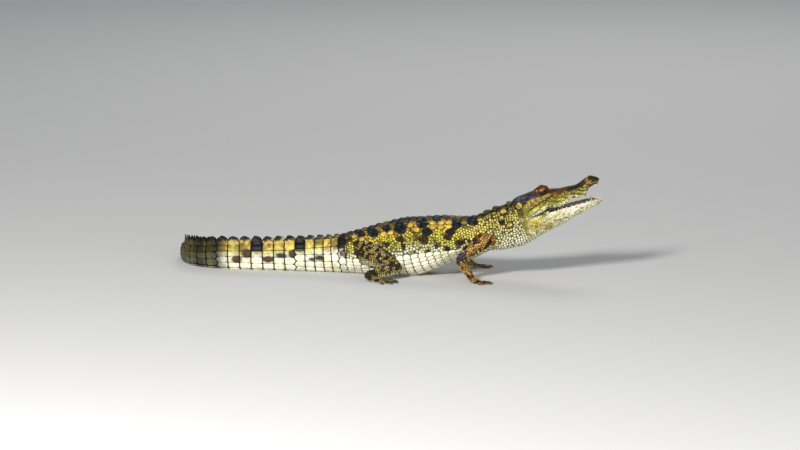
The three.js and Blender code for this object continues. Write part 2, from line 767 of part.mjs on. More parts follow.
function buildLimbs() {
  const room = joined([
    bodyLength(0, TRUNK_FROM, SLICES.neck, GAP),
    bodyLength(TRUNK_FROM, TAIL_FROM, SLICES.trunk, GAP),
    bodyLength(TAIL_FROM, TAIL_CUTS[0], SLICES.tail, GAP),
  ]);
  const arm = ["upper_arm", "forearm", "hand", "claw_hand"];
  const leg = ["thigh", "shank", "foot", "claw_foot"];
  const limbs = [
    [arm, "_right", RIGHT_ARM, FINGERS, FINGER_RADIUS, -1],
    [arm, "_left", LEFT_ARM, FINGERS, FINGER_RADIUS, 1],
    [leg, "_right", RIGHT_LEG, TOES, TOE_RADIUS, -1],
    [leg, "_left", LEFT_LEG, TOES, TOE_RADIUS, 1],
  ];
  for (const [parts, end, shape, digits, radius, outward] of limbs) {
    const names = parts.map((part) => part + end);
    for (const [name, made, colour] of limbParts(names, shape, digits, radius, outward, room))
      place(name, made, colour);
  }
}

buildHead();
buildBody();
buildLimbs();

export default crocodile;
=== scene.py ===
"""A young mugger crocodile at rest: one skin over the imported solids, and every scale a small solid on it.

Shapes are worked out in millimetres in the model's own frame (+X to the head, +Z up, right side to -Y) and
written in metres. The order is: shape functions, skin, markings, scales, other pieces, materials, stage.
"""
import itertools
import math

import bpy
import numpy as np
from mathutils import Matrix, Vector
from mathutils.bvhtree import BVHTree
from mathutils.kdtree import KDTree


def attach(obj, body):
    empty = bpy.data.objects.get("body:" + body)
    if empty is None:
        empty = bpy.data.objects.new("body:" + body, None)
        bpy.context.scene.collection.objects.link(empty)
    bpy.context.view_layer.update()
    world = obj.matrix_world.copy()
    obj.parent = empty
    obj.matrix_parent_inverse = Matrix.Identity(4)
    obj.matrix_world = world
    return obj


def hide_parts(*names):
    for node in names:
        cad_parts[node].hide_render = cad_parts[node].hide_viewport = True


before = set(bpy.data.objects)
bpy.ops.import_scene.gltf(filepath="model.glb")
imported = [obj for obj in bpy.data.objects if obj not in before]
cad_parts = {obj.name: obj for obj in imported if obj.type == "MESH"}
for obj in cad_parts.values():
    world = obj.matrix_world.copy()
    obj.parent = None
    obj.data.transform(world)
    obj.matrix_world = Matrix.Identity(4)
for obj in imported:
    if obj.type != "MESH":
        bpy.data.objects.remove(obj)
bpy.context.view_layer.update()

MM = 0.001
RNG = np.random.default_rng(7)

# ------ driving dimensions, as in the solids
SKIN_DEPTH = 1.3  # the skin lies this far inside the solids, so that the scales' tips reach them
HEAD_GROW = -SKIN_DEPTH * 0.7  # on the head, where the scales are lower
VOXEL = 1.45  # cell of the remesh that joins the flesh
SKIN_TRIANGLES = 188000  # the joined skin is reduced to this many
ROUND_BACK, ROUND_BELLY = 2.25, 2.5  # powers of the body's outline: an ellipse has 2

# [x, y, top z, bottom z, half width] from inside the head to the tail's tip
BODY = [
    [288, -44, 172, 104, 36], [262, -44, 173, 78, 43], [228, -43, 167, 63, 46],
    [193, -40, 152, 57.5, 47], [155, -35, 137, 53, 50], [116, -27, 133.5, 38, 57],
    [66, -15, 133.5, 19, 66], [10, -2, 128, -4, 71], [-45, 9, 115, -5, 67],
    [-100, 19, 98, -5, 56], [-138, 26, 87, -4, 45], [-175, 32, 78, -3, 38],
    [-235, 40, 72, -3, 30.5], [-297, 48, 67, -3, 25.5], [-355, 55, 63.5, -3, 21.5],
    [-410, 65, 60.5, -3, 18.5], [-454, 82, 55.5, -3, 16], [-487, 111, 50, -3, 14],
    [-506, 153, 44, -3, 12.5], [-513, 202, 38, -3, 11], [-509, 251, 32, -2.5, 9],
    [-495, 298, 25, -2, 7.5], [-472, 341, 17, -2, 5.5], [-443, 376, 8, -1.5, 3],
]
TAIL_FROM = 10  # the row at the vent
DOUBLE_WHORLS, SINGLE_WHORLS = 17, 16  # rings of the tail with two upright scutes, and with one

OCCIPUT = np.array([235.0, -43.0, 177.5])
HEAD_PITCH = 22  # degrees that the snout points upwards
# [along u, top w, lip w, half width at the lip, half width on top, boxiness]
SKULL = [
    [-16, -8, -50, 47, 24, 3.2], [0, -1, -50, 51, 25.5, 4.2], [20, 0, -50, 51, 25, 4.6],
    [42, 0, -48, 47, 23, 4.4], [62, -1, -46.5, 43, 22, 3.6], [80, -9, -50, 39, 19, 3.0],
    [100, -16, -50, 35, 17, 2.8], [119, -20, -44, 32.5, 17, 2.7], [137, -22.5, -49, 31.5, 17, 2.7],
    [149, -20.5, -50.5, 27.5, 16, 2.6], [161, -17, -40, 21.5, 14, 2.6], [173, -15.5, -35.5, 23, 13, 2.6],
    [184, -21, -36.5, 18, 11, 2.4], [191, -28, -36, 8, 5, 2.2],
]
PALATE_RISE = 4  # of the palate's middle over the lips
JAW_JOINT = np.array([238.0, -43.0, 137.0])
JAW_PITCH = 14  # the difference is the gape
# [along u, top w, bottom w, half width]
JAW = [
    [-26, -8, -61, 41], [0, -6, -66, 49], [30, -3.5, -60, 50], [56, -3.5, -52, 46.5], [72, -5.5, -48, 43.5],
    [90, -5, -44.5, 39.5], [107, -4.5, -40, 35.5], [127, -5, -34, 32], [147, -4.5, -29, 30],
    [165, -4, -25, 26], [180, -5.5, -21, 19], [191, -8, -18, 11], [195, -10, -15, 4],
]
EYE_U, EYE_SIDE, EYE_W, EYE_RADIUS = 62.5, 17.8, -6.0, 8.0

# Limbs: three chains of [x, y, z, half width, half thickness], from the root to the palm, the heading of the
# digits in degrees, and the outer side.
LIMBS = {
    "arm_right": {
        "chain": [[[190, -60, 91, 18, 22], [168, -79, 82, 18, 21], [138, -97, 66, 16, 18],
                   [115, -110, 51, 13, 14]],
                  [[113, -110, 46, 11.5, 12.5], [122, -123, 32, 11, 11], [134, -136, 16, 8.5, 8]],
                  [[134, -136, 13, 9, 7.5], [145, -144, 5.5, 11.5, 6.5], [155, -150, 3, 12.5, 5]]],
        "heading": -28, "outward": -1, "hand": True},
    "arm_left": {
        "chain": [[[164, -18, 88, 17, 21], [146, 4, 78, 17, 19], [124, 27, 61, 14.5, 16],
                   [108, 46, 47, 12, 13]],
                  [[108, 46, 45, 11.5, 12.5], [121, 57, 31, 11, 11], [136, 67, 16, 8.5, 8]],
                  [[136, 67, 13, 9, 7.5], [148, 73, 5.5, 11.5, 6.5], [159, 77, 3, 12.5, 5]]],
        "heading": 20, "outward": 1, "hand": True},
    "leg_right": {
        "chain": [[[-104, -6, 56, 24, 27], [-84, -38, 48, 23, 25], [-54, -68, 36, 19, 20],
                   [-31, -88, 27, 14.5, 15]],
                  [[-33, -89, 25, 14, 14], [-62, -100, 19, 13, 12.5], [-94, -109, 13, 9.5, 9]],
                  [[-94, -109, 10, 10, 8], [-80, -119, 5, 13, 6], [-66, -128, 3, 15, 5]]],
        "heading": -35, "outward": -1, "hand": False},
    "leg_left": {
        "chain": [[[-104, 44, 56, 24, 27], [-88, 76, 48, 23, 25], [-64, 106, 36, 19, 20],
                   [-46, 128, 27, 14.5, 15]],
                  [[-48, 129, 25, 14, 14], [-79, 139, 19, 13, 12.5], [-111, 146, 13, 9.5, 9]],
                  [[-111, 146, 10, 10, 8], [-98, 157, 5, 13, 6], [-85, 167, 3, 15, 5]]],
        "heading": 38, "outward": 1, "hand": False},
}
# Digits: turn from the heading towards the outer side, length, claw or none.
FINGERS = [(-52, 17, True), (-24, 22, True), (0, 24, True), (24, 20, False), (50, 15, False)]
TOES = [(-34, 29, True), (-10, 36, True), (13, 37, True), (37, 30, False)]
FINGER_RADIUS, TOE_RADIUS = 3.4, 4.2
CLAW_LENGTH, CLAW_STEPS, CLAW_SIDES = 10, 12, 14
FLOOR_GAP = 0.05  # no scale or claw comes nearer to the floor


# ------ small maths
def spline(rows, at):
    """Catmull-Rom through the rows, read by row number."""
    rows = np.asarray(rows, float)
    at = np.atleast_1d(np.asarray(at, float))
    padded = np.vstack([2 * rows[0] - rows[1], rows, 2 * rows[-1] - rows[-2]])
    i = np.clip(np.floor(at), 0, len(rows) - 2).astype(int)
    t = (at - i)[:, None]
    p0, p1, p2, p3 = (padded[i + k] for k in range(4))
    v0, v1 = (p2 - p0) / 2, (p3 - p1) / 2
    return p1 + v0 * t + (3 * (p2 - p1) - 2 * v0 - v1) * t**2 + (2 * (p1 - p2) + v0 + v1) * t**3


def spline_slope(rows, at):
    step = 1e-3
    return (spline(rows, np.asarray(at) + step) - spline(rows, np.asarray(at) - step)) / (2 * step)


def unit(v):
    return v / np.maximum(np.linalg.norm(v, axis=-1, keepdims=True), 1e-9)


def signed_power(x, power):
    return np.sign(x) * np.abs(x) ** power


def smooth(low, high, x):
    t = np.clip((x - low) / (high - low), 0, 1)
    return t * t * (3 - 2 * t)


def turns(count):
    """The angles of a full turn in equal steps."""
    return 2 * np.pi * np.arange(count) / count


def distances(points):
    """How far along a line of points each one lies."""
    return np.concatenate([[0], np.cumsum(np.linalg.norm(np.diff(points, axis=0), axis=1))])


def window(x, low, inner_low, inner_high, high):
    """1 between the inner limits, and 0 outside the outer ones."""
    return smooth(low, inner_low, x) * smooth(high, inner_high, x)


def bell(*offsets, power=2):
    """1 where every offset is 0, fading out where one passes 1."""
    return np.exp(-sum(offset**power for offset in offsets))


def noise(points, size, seed=0):
    """Smooth value noise from 0 to 1 with features of about the given size in mm."""
    q = np.asarray(points, float) / size + seed * 17.3
    cell = np.floor(q)
    f = q - cell
    f = f * f * (3 - 2 * f)
    total = np.zeros(len(q))
    for step in itertools.product((0, 1), repeat=3):
        value = np.sin((cell + step) @ (127.1, 311.7, 74.7) + seed * 5.1) * 43758.5453
        weight = np.ones(len(q))
        for axis, d in enumerate(step):
            weight *= f[:, axis] if d else 1 - f[:, axis]
        total += weight * (value - np.floor(value))
    return total


def cloud(low, high, points, size, seed):
    """Noise with its contrast raised: 0 below the low value and 1 above the high one."""
    return smooth(low, high, noise(points, size, seed))


def rgb(code):
    """A linear colour from an sRGB hex code."""
    srgb = np.array([int(code[i:i + 2], 16) / 255 for i in (0, 2, 4)])
    return np.where(srgb <= 0.04045, srgb / 12.92, ((srgb + 0.055) / 1.055) ** 2.4)


# ------ the body's form
MIDLINE = [[x, y, (top + bottom) / 2] for x, y, top, bottom, _ in BODY]
GIRTH = [[width, (top - bottom) / 2] for _, _, top, bottom, width in BODY]
LAST = len(BODY) - 1


def body_section(station):
    """Middle, axes, half width and half height of the body's section, for many stations."""
    middle = spline(MIDLINE, station)
    along = unit(spline_slope(MIDLINE, station))
    side = unit(np.cross(along, (0, 0, 1)))
    up = np.cross(side, along)
    size = spline(GIRTH, station)
    return middle, along, side, up, size[:, 0], size[:, 1] * up[:, 2]


def body_point(station, angle, grow=0.0):
    """Angle 0 is the midline of the back and pi that of the belly; it grows towards the left side."""
    middle, _, side, up, width, height = body_section(station)
    c, s = np.cos(angle), np.sin(angle)
    power = 2 / np.where(c > 0, ROUND_BACK, ROUND_BELLY)
    across = signed_power(s, power) * (width + grow)
    high = signed_power(c, power) * (height + grow)
    p = middle + side * across[:, None] + up * high[:, None]
    p[:, 2] = np.maximum(p[:, 2], max(-grow, 0))
    return p


SPINE_SAMPLES = np.linspace(0, LAST, 1400)
SPINE_POINTS = spline(MIDLINE, SPINE_SAMPLES)
SPINE_LENGTH = distances(SPINE_POINTS)


def length_at(station):
    return np.interp(station, SPINE_SAMPLES, SPINE_LENGTH)


def station_at(length):
    return np.interp(length, SPINE_LENGTH, SPINE_SAMPLES)


VENT = float(length_at(TAIL_FROM))


def in_blocks(points, work, size=4000):
    """The results of work on the points, a block at a time, because all at once take too much memory."""
    return np.concatenate([work(points[start:start + size]) for start in range(0, len(points), size)])


def body_place(points):
    """For points near the body: station, angle, and how far out they lie as a share of the section."""
    coarse = SPINE_POINTS[None, ::4]
    nearest = in_blocks(points, lambda block: ((block[:, None] - coarse) ** 2).sum(2).argmin(1))
    station = SPINE_SAMPLES[nearest * 4]
    middle, along, side, up, width, height = body_section(station)
    rate = np.linalg.norm(spline_slope(MIDLINE, station), axis=1)
    station = np.clip(station + ((points - middle) * along).sum(1) / rate, 0, LAST)
    middle, along, side, up, width, height = body_section(station)
    across = ((points - middle) * side).sum(1) / width
    high = ((points - middle) * up).sum(1) / height
    power = np.where(high > 0, ROUND_BACK, ROUND_BELLY)
    out = (np.abs(across) ** power + np.abs(high) ** power) ** (1 / power)
    angle = np.arctan2(signed_power(across, power / 2), signed_power(high, power / 2))
    return station, angle, out


def whorl_lengths():
    """Distances along the tail, from the vent, where each whorl of scales starts."""
    k = np.arange(DOUBLE_WHORLS + SINGLE_WHORLS)
    pitch = np.where(k <= 10, 16 + 10 * np.sin(np.minimum(k, 10) / 10 * np.pi / 2), 26 - 0.72 * (k - 11))
    ends = np.concatenate([[0], np.cumsum(pitch)])
    return ends * (SPINE_LENGTH[-1] - VENT) / ends[-1]


WHORLS = whorl_lengths()


def crest_height(k):
    if k < DOUBLE_WHORLS:
        return 4 + 17 * (k / DOUBLE_WHORLS) ** 0.7
    return 21 - 14 * (k - DOUBLE_WHORLS) / SINGLE_WHORLS


def crest_offset(k):
    return 20 - 15.5 * k / DOUBLE_WHORLS if k < DOUBLE_WHORLS else 0.0


# ------ the head's form
def head_axes(pitch):
    turn = math.radians(pitch)
    along = np.array([math.cos(turn), 0, math.sin(turn)])
    return along, np.array([0.0, 1.0, 0.0]), np.array([-along[2], 0, along[0]])


HEAD_AXES = head_axes(HEAD_PITCH)
JAW_AXES = head_axes(JAW_PITCH)


def head_point(u, side, w, start=OCCIPUT, axes=HEAD_AXES):
    for amount, way in zip((u, side, w), axes):
        start = start + np.multiply.outer(amount, way)
    return start


def jaw_point(u, side, w):
    return head_point(u, side, w, JAW_JOINT, JAW_AXES)


def in_head(points):
    """Points as [u, side, w] of the head's own frame."""
    return (points - OCCIPUT) @ np.array(HEAD_AXES).T


def in_jaw(points):
    return (points - JAW_JOINT) @ np.array(JAW_AXES).T


def at_u(rows, u, column):
    """A value of the skull's or jaw's table at a place along it."""
    stations = np.linspace(0, len(rows) - 1, 400)
    values = spline(rows, stations)
    return np.interp(u, values[:, 0], values[:, column])


def skull_ring(station, grow, over=60, under=16):
    u, top, lip, low, high, box = spline(SKULL, station)[0]
    angle = np.pi * np.arange(over + 1) / over
    rise = np.sin(angle) ** (2 / box)
    wide = low + (high - low) * smooth(0.1, 0.8, rise) + grow
    side = signed_power(np.cos(angle), 2 / box) * wide
    w = lip - grow + (top + grow - (lip - grow)) * rise
    share = np.arange(1, under) / under
    dome = PALATE_RISE * np.sin(np.pi * share) ** 0.7
    side = np.concatenate([side, -(low + grow) * (1 - 2 * share)])
    w = np.concatenate([w, lip - grow + dome])
    return head_point(np.full(len(side), u), side, w)


def jaw_ring(station, grow, over=16, under=48):
    u, top, bottom, width = spline(JAW, station)[0]
    angle = np.pi * np.arange(under + 1) / under
    side = signed_power(np.cos(angle), 2 / 2.4) * (width + grow)
    w = top - (top - bottom + grow) * np.sin(angle) ** (2 / 2.4)
    share = np.arange(1, over) / over
    side = np.concatenate([side, -(width + grow) * (1 - 2 * share)])
    w = np.concatenate([w, top - 3 * np.sin(np.pi * share) + grow])
    return jaw_point(np.full(len(side), u), side, w)


# ------ the limbs' form
def limb_ring(rows, station, sides, grow, scale=1.0, shift=0.0):
    x, y, z, wide, thick = spline(rows, station)[0]
    along = unit(spline_slope([r[:3] for r in rows], station))[0]
    side = unit(np.cross(along, (0, 0, 1)))
    up = np.cross(side, along)
    angle = turns(sides)
    p = np.array([x, y, z]) + along * shift
    p = p + np.outer(np.sin(angle) * (wide + grow) * scale, side)
    p = p + np.outer(np.cos(angle) * (thick + grow) * scale, up)
    p[:, 2] = np.maximum(p[:, 2], 0)
    return p


def limb_rings(rows, grow, sides=20, per=6, tip=0.62):
    last = len(rows) - 1
    start = min(rows[0][3:]) * 0.75
    end = min(rows[-1][3:]) * 0.75
    rings = [limb_ring(rows, 0, sides, grow, 0.62, -start)]
    rings += [limb_ring(rows, t, sides, grow) for t in np.linspace(0, last, last * per + 1)]
    rings.append(limb_ring(rows, last, sides, grow, tip, end))
    return rings


def digit_rows(limb, digit):
    """The stations of one digit, from the palm's end along the floor."""
    turn, length, _ = digit
    radius = FINGER_RADIUS if limb["hand"] else TOE_RADIUS
    palm = limb["chain"][2][-1]
    heading = math.radians(limb["heading"] + turn * limb["outward"])
    way = np.array([math.cos(heading), math.sin(heading), 0])
    across = math.radians(limb["heading"] + 90)
    spread = math.sin(math.radians(turn)) * limb["outward"] * palm[3] * 0.75
    start = np.array(palm[:2] + [0]) + spread * np.array([math.cos(across), math.sin(across), 0]) - 2 * way
    shape = [(0, 1.0, 1.1), (0.3, 0.95, 0.92), (0.52, 1.0, 1.0), (0.72, 0.8, 0.82), (1.0, 0.62, 0.72)]
    rows = []
    for share, high, thick in shape:
        p = start + way * length * share
        rows.append([p[0], p[1], radius * high, radius * thick, radius * thick * 0.95])
    return rows, way


# ------ meshes
def mesh_object(name, verts_mm, faces):
    mesh = bpy.data.meshes.new(name)
    mesh.from_pydata((np.asarray(verts_mm) * MM).tolist(), [], faces)
    mesh.update()
    made = bpy.data.objects.new(name, mesh)
    bpy.context.scene.collection.objects.link(made)
    return made


def closed_loft(rings):
    """Vertices and faces of one closed shell through rings of equal length."""
    n = len(rings[0])
    verts = np.vstack(list(rings) + [np.mean(rings[0], 0), np.mean(rings[-1], 0)])
    faces = []
    for r in range(len(rings) - 1):
        for i in range(n):
            a, b = r * n + i, r * n + (i + 1) % n
            faces.append((a, b, b + n, a + n))
    first, last, end = len(verts) - 2, len(verts) - 1, (len(rings) - 1) * n
    for i in range(n):
        faces.append((first, (i + 1) % n, i))
        faces.append((last, end + i, end + (i + 1) % n))
    return verts, faces


def ellipsoid(centre, axes, radii, steps=16):
    rings = []
    for i in range(1, steps):
        polar = math.pi * i / steps
        angle = turns(steps * 2)
        ring = np.array(centre) + math.cos(polar) * radii[0] * np.array(axes[0])
        ring = ring + np.outer(np.cos(angle), axes[1]) * math.sin(polar) * radii[1]
        ring = ring + np.outer(np.sin(angle), axes[2]) * math.sin(polar) * radii[2]
        rings.append(ring)
    return closed_loft(rings)


def skin_shells():
    """Every closed shell whose union is the flesh."""
    grow = -SKIN_DEPTH
    angles = 2 * np.pi * (np.arange(72) + 0.5) / 72
    shells = [closed_loft([body_point(np.full(72, s), angles, grow) for s in np.linspace(0.0, LAST, 420)]),
              closed_loft([skull_ring(s, HEAD_GROW) for s in np.linspace(0, len(SKULL) - 1, 150)]),
              closed_loft([jaw_ring(s, HEAD_GROW) for s in np.linspace(0, len(JAW) - 1, 150)])]
    for side in (-1, 1):
        dome = head_point(EYE_U - 3.0, side * (EYE_SIDE - 5.0), EYE_W - 1.2)
        shells.append(ellipsoid(dome, HEAD_AXES, (18, 8.5, 9.3)))
        shells.append(closed_loft(bead_rings(SKULL, head_point, side, 5.2, 12.2, 2, 3, 1.5, 0.6)))
        shells.append(closed_loft(bead_rings(JAW, jaw_point, side, 4.0, 11.4, 1, 3, 1.6, -0.7)))
    shells.append(closed_loft(corner_rings()))
    for limb in LIMBS.values():
        for rows in limb["chain"]:
            shells.append(closed_loft(limb_rings(rows, grow)))
        digits = FINGERS if limb["hand"] else TOES
        laid = [digit_rows(limb, digit)[0] for digit in digits]
        for rows in laid:
            shells.append(closed_loft(limb_rings(rows, -0.5, sides=14)))
        for one, other in zip(laid, laid[1:]):
            shells.append(closed_loft(web_rings(one, other, 0.3 if limb["hand"] else 0.52)))
    # Shoulder, hip and elbow masses that the limbs' lofts leave thin.
    for limb in LIMBS.values():
        root = np.array(limb["chain"][0][0][:3])
        knee = np.array(limb["chain"][0][-1][:3])
        size = (19, 19, 20) if limb["hand"] else (27, 23, 25)
        shells.append(ellipsoid(root + (knee - root) * 0.12, np.eye(3), np.array(size) - 1.0))
        size = (11.5, 11.5, 11.5) if limb["hand"] else (13, 13, 12)
        shells.append(ellipsoid(knee + (0, 0, -2), np.eye(3), size))
    return shells


def bead_rings(rows, frame_point, side, start, stop, edge, width, radius, inward):
    """Rings of a rounded rim along one side of a jaw's edge."""
    stations = np.linspace(start, stop, 90)
    table = spline(rows, stations)
    out = table[:, width] - radius - 0.9
    middle = frame_point(0, 0, 0)
    axes = HEAD_AXES if frame_point is head_point else JAW_AXES
    track = middle + np.outer(table[:, 0], axes[0]) + np.outer(side * out, axes[1])
    track = track + np.outer(table[:, edge] + inward, axes[2])
    along = unit(np.gradient(track, axis=0))
    rings = []
    for p, way in zip(track, along):
        across = unit(np.cross(way, axes[2]))
        up = np.cross(across, way)
        turn = turns(10)
        rings.append(p + radius * (np.outer(np.cos(turn), across) + np.outer(np.sin(turn), up)))
    return rings


CORNER_U = 61.0  # along the head, where the web of skin at the mouth's corner ends


def corner_rings():
    """The web of skin that closes the mouth behind its corner."""
    rings = []
    for u in np.linspace(20, CORNER_U, 24):
        wide = at_u(np.array(SKULL)[:, [0, 3]], u, 1) - 2.6 - 3.0 * smooth(CORNER_U - 16, CORNER_U, u)
        lip = at_u(SKULL, u, 2)
        angle = turns(40)
        tall = 9.5
        side = signed_power(np.cos(angle), 0.35) * wide
        w = lip - 2.0 + signed_power(np.sin(angle), 0.5) * tall
        rings.append(head_point(np.full(40, u), side, w))
    return rings


def web_rings(one, other, share):
    """Rings of the thin web between two digits."""
    rings = []
    for t in np.linspace(0.0, share, 6):
        a = spline(one, t * (len(one) - 1))[0]
        b = spline(other, t * (len(other) - 1))[0]
        middle, across = (a[:3] + b[:3]) / 2, (b[:3] - a[:3]) / 2
        ring = []
        for angle in turns(12):
            ring.append(middle + across * math.cos(angle) + np.array([0, 0, 1.5 * math.sin(angle) - 1.0]))
        rings.append(np.maximum(ring, [-1e9, -1e9, 0]))
    return rings


def add_piece(name, shell, tint, material, replaced=None):
    """A smooth mesh on the root, with its tint, its material and the node that it replaces."""
    made = mesh_object(name, *shell)
    made.data.shade_smooth()
    paint(made, "tint", tint)
    made.data.materials.append(material)
    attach(made, "root")
    if replaced:
        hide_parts(replaced)
    return made


def band_faces(around, per):
    """Faces between rings of per points each that close on themselves, all the way around."""
    faces = []
    for j in range(around):
        for i in range(per):
            a, b, end = j * per + i, j * per + (i + 1) % per, (j + 1) % around * per
            faces.append((a, b, end + (i + 1) % per, end + i))
    return faces


def join_shells(shells):
    verts, faces, start = [], [], 0
    for v, f in shells:
        verts.append(v)
        faces += [tuple(i + start for i in face) for face in f]
        start += len(v)
    return np.vstack(verts), faces


def coordinates(mesh):
    flat = np.zeros(len(mesh.vertices) * 3)
    mesh.vertices.foreach_get("co", flat)
    return flat.reshape(-1, 3) / MM


def set_coordinates(mesh, points):
    mesh.vertices.foreach_set("co", (points * MM).ravel())
    mesh.update()


def normals(mesh):
    flat = np.zeros(len(mesh.vertices) * 3)
    mesh.vertices.foreach_get("normal", flat)
    return flat.reshape(-1, 3)


def edge_pairs(mesh):
    flat = np.zeros(len(mesh.edges) * 2, int)
    mesh.edges.foreach_get("vertices", flat)
    return flat.reshape(-1, 2)


def relax(points, pairs, weight, rounds, keep=0.0):
    """Laplacian smoothing by weight; keep above 0 swells back a share, so that thin parts hold their size."""
    a, b = pairs.T
    count = np.bincount(np.concatenate([a, b]), minlength=len(points))[:, None]
    for _ in range(rounds):
        for factor in (1.0, -keep):
            if factor == 0:
                continue
            total = np.zeros_like(points)
            for axis in range(3):
                values, n = points[:, axis], len(points)
                total[:, axis] = np.bincount(a, values[b], n) + np.bincount(b, values[a], n)
            points = points + (total / count - points) * (weight * factor)[:, None]
    return points


def apply_modifier(target, kind, **values):
    modifier = target.modifiers.new(kind, kind)
    for key, value in values.items():
        setattr(modifier, key, value)
    graph = bpy.context.evaluated_depsgraph_get()
    done = bpy.data.meshes.new_from_object(target.evaluated_get(graph), depsgraph=graph)
    target.modifiers.clear()
    old = target.data
    target.data = done
    bpy.data.meshes.remove(old)


# Folds and bosses of the head: [u, side, w], spread along each, and how far the skin moves outwards.
HEAD_FORMS = [
    ((62, 0, -2), (17, 5.5, 9), -2.6),  # trough between the eyes
    ((28, 11, 0), (8, 5, 8), -0.8),  # openings in the skull table
    ((31, 25.5, -9), (19, 4.5, 2.4), -2.6),  # ear slit under the table's edge
    ((30, 25.5, -3), (21, 3.5, 2.6), 1.0),  # the ear's lid
    ((33, 34, -21), (20, 8, 8), -2.2),  # hollow of the temple
    ((12, 50, -38), (20, 10, 12), 1.5),  # jaw muscle
    ((92, 11, -14), (14, 3.5, 7), 1.5),  # ridge in front of the eye
    ((106, 21, -25), (17, 6, 7), -1.5),  # hollow beside the snout
    ((118, 0, -20), (16, 5, 6), 0.9),  # low boss on the snout
    ((138, 25, -35), (9, 9, 9), 1.2),  # bulge over the largest tooth
    ((160, 20, -33), (5, 8, 8), -1.6),  # notch behind the nose
    ((175, 5.5, -15), (5.5, 4, 4), 1.2),  # nostril rims
    ((167, 0, -16), (5, 3, 4), -0.9),
]


def shape_head(points, normal):
    local = in_head(points)
    moved = np.zeros(len(points))
    for (u, side, w), (su, ss, sw), amount in HEAD_FORMS:
        for mirror in ((-1, 1) if side else (1,)):
            away = (local - (u, side * mirror, w)) / (su, ss, sw)
            moved += amount * np.exp(-(away**2).sum(1))
    # The socket: the skin draws back around the eyeball's outer face.
    for mirror in (-1, 1):
        away = local - (EYE_U, mirror * (EYE_SIDE + 5.5), EYE_W)
        moved -= 4.5 * np.exp(-((away / (6.5, 5.5, 4.6)) ** 2).sum(1))
    return points + normal * moved[:, None]


def shape_body(points, normal):
    """Folds of the neck's side."""
    station, angle, _ = body_place(points)
    length = length_at(station)
    t = np.abs(angle) / np.pi
    neck = window(length, 20, 45, 100, 150) * window(t, 0.3, 0.5, 0.8, 0.98)
    fold = 0.7 * np.sin(length / 9.5 + 3 * t + 2 * noise(points, 30, 3)) * neck
    return points + normal * fold[:, None]


def lip_closeness(points):
    """1 on the edges of the two jaws and 0 away from them."""
    head, jaw = in_head(points), in_jaw(points)
    upper = np.abs(head[:, 2] - at_u(SKULL, head[:, 0], 2)) / 3.5
    upper = np.where((head[:, 0] > 45) & (np.abs(head[:, 1]) < 50), upper, 9)
    lower = np.abs(jaw[:, 2] - at_u(JAW, jaw[:, 0], 1)) / 3.5
    lower = np.where((jaw[:, 0] > 45) & (np.abs(jaw[:, 1]) < 50), lower, 9)
    return bell(np.minimum(upper, lower))


def build_skin():
    verts, faces = join_shells(skin_shells())
    skin = mesh_object("skin", verts, faces)
    apply_modifier(skin, "REMESH", mode="VOXEL", voxel_size=VOXEL * MM, adaptivity=0)
    mesh = skin.data
    points, pairs = coordinates(mesh), edge_pairs(mesh)
    head = in_head(points)
    plain = np.full(len(points), 0.5)
    points = relax(points, pairs, plain, 4, keep=1.04)
    # The blends where one form grows out of another are softened more.
    blend = np.zeros(len(points))
    for limb in LIMBS.values():
        first, middle = (np.array(limb["chain"][0][i][:3]) for i in (0, 2))
        elbow = np.array(limb["chain"][0][-1][:3])
        reach = 30 if limb["hand"] else 40
        for centre, size in ((first, reach), (middle, 18), (elbow, 16)):
            blend = np.maximum(blend, bell(np.linalg.norm(points - centre, axis=1) / size))
    collar = bell((head[:, 0] + 6) / 14) * smooth(-4, -16, head[:, 2])
    cheek = bell((head[:, 0] - 8) / 24, (head[:, 2] + 50) / 12)
    blend = np.maximum(blend, np.maximum(collar, cheek))
    points = relax(points, pairs, 0.6 * blend, 30)
    lips = lip_closeness(points)
    points = relax(points, pairs, 0.5 * lips, 9)
    set_coordinates(mesh, points)
    points = shape_head(points, normals(mesh))
    set_coordinates(mesh, points)
    points = shape_body(points, normals(mesh))
    points[:, 2] = np.maximum(points[:, 2], 0)
    set_coordinates(mesh, points)
    mesh.calc_loop_triangles()
    triangles = len(mesh.loop_triangles)
    print("skin triangles", triangles)
    if triangles > SKIN_TRIANGLES:
        apply_modifier(skin, "DECIMATE", decimate_type="COLLAPSE", ratio=SKIN_TRIANGLES / triangles)
    return skin


# ------ where a point lies
def limb_samples():
    """Points down the middle of every limb part and digit, with radius, limb number and share along it."""
    rows = []
    for number, limb in enumerate(LIMBS.values()):
        digits = [digit_rows(limb, digit)[0] for digit in (FINGERS if limb["hand"] else TOES)]
        for part, chain in enumerate(limb["chain"] + digits):
            last = len(chain) - 1
            for t in np.linspace(0, last, last * 6 + 1):
                x, y, z, wide, thick = spline(chain, t)[0]
                rows.append([x, y, z, (wide + thick) / 2, number, min(part, 3) + t / last * 0.999])
    return np.array(rows)


LIMB_SAMPLES = limb_samples()


def nearest_sample(points):
    gap = np.linalg.norm(points[:, None] - LIMB_SAMPLES[None, :, :3], axis=2) - LIMB_SAMPLES[None, :, 3]
    return gap.argmin(1)


def limb_place(points):
    """Distance outside the nearest limb, its number, and how far down it a point lies.

    That runs from 0 to 1 in the upper part, to 2 in the lower part, to 3 in the palm and to 4 in the digits.
    """
    best = in_blocks(points, nearest_sample)
    near = LIMB_SAMPLES[best]
    return np.linalg.norm(points - near[:, :3], axis=1) - near[:, 3], near[:, 4].astype(int), near[:, 5]


BODY_KIND, SKULL_KIND, JAW_KIND, LIMB_KIND = range(4)


BELLY_EDGE = 0.53  # where the plates of the belly start: 0 at the midline of the back, 1 at that of the belly


def belly_edge(length):
    """The plates start lower down behind the forelegs and on the neck than at the loins."""
    return BELLY_EDGE + np.interp(length, [0, 60, 130, 190, 280, 320], [0.02, 0.03, 0.08, 0.08, 0.0, 0.0])


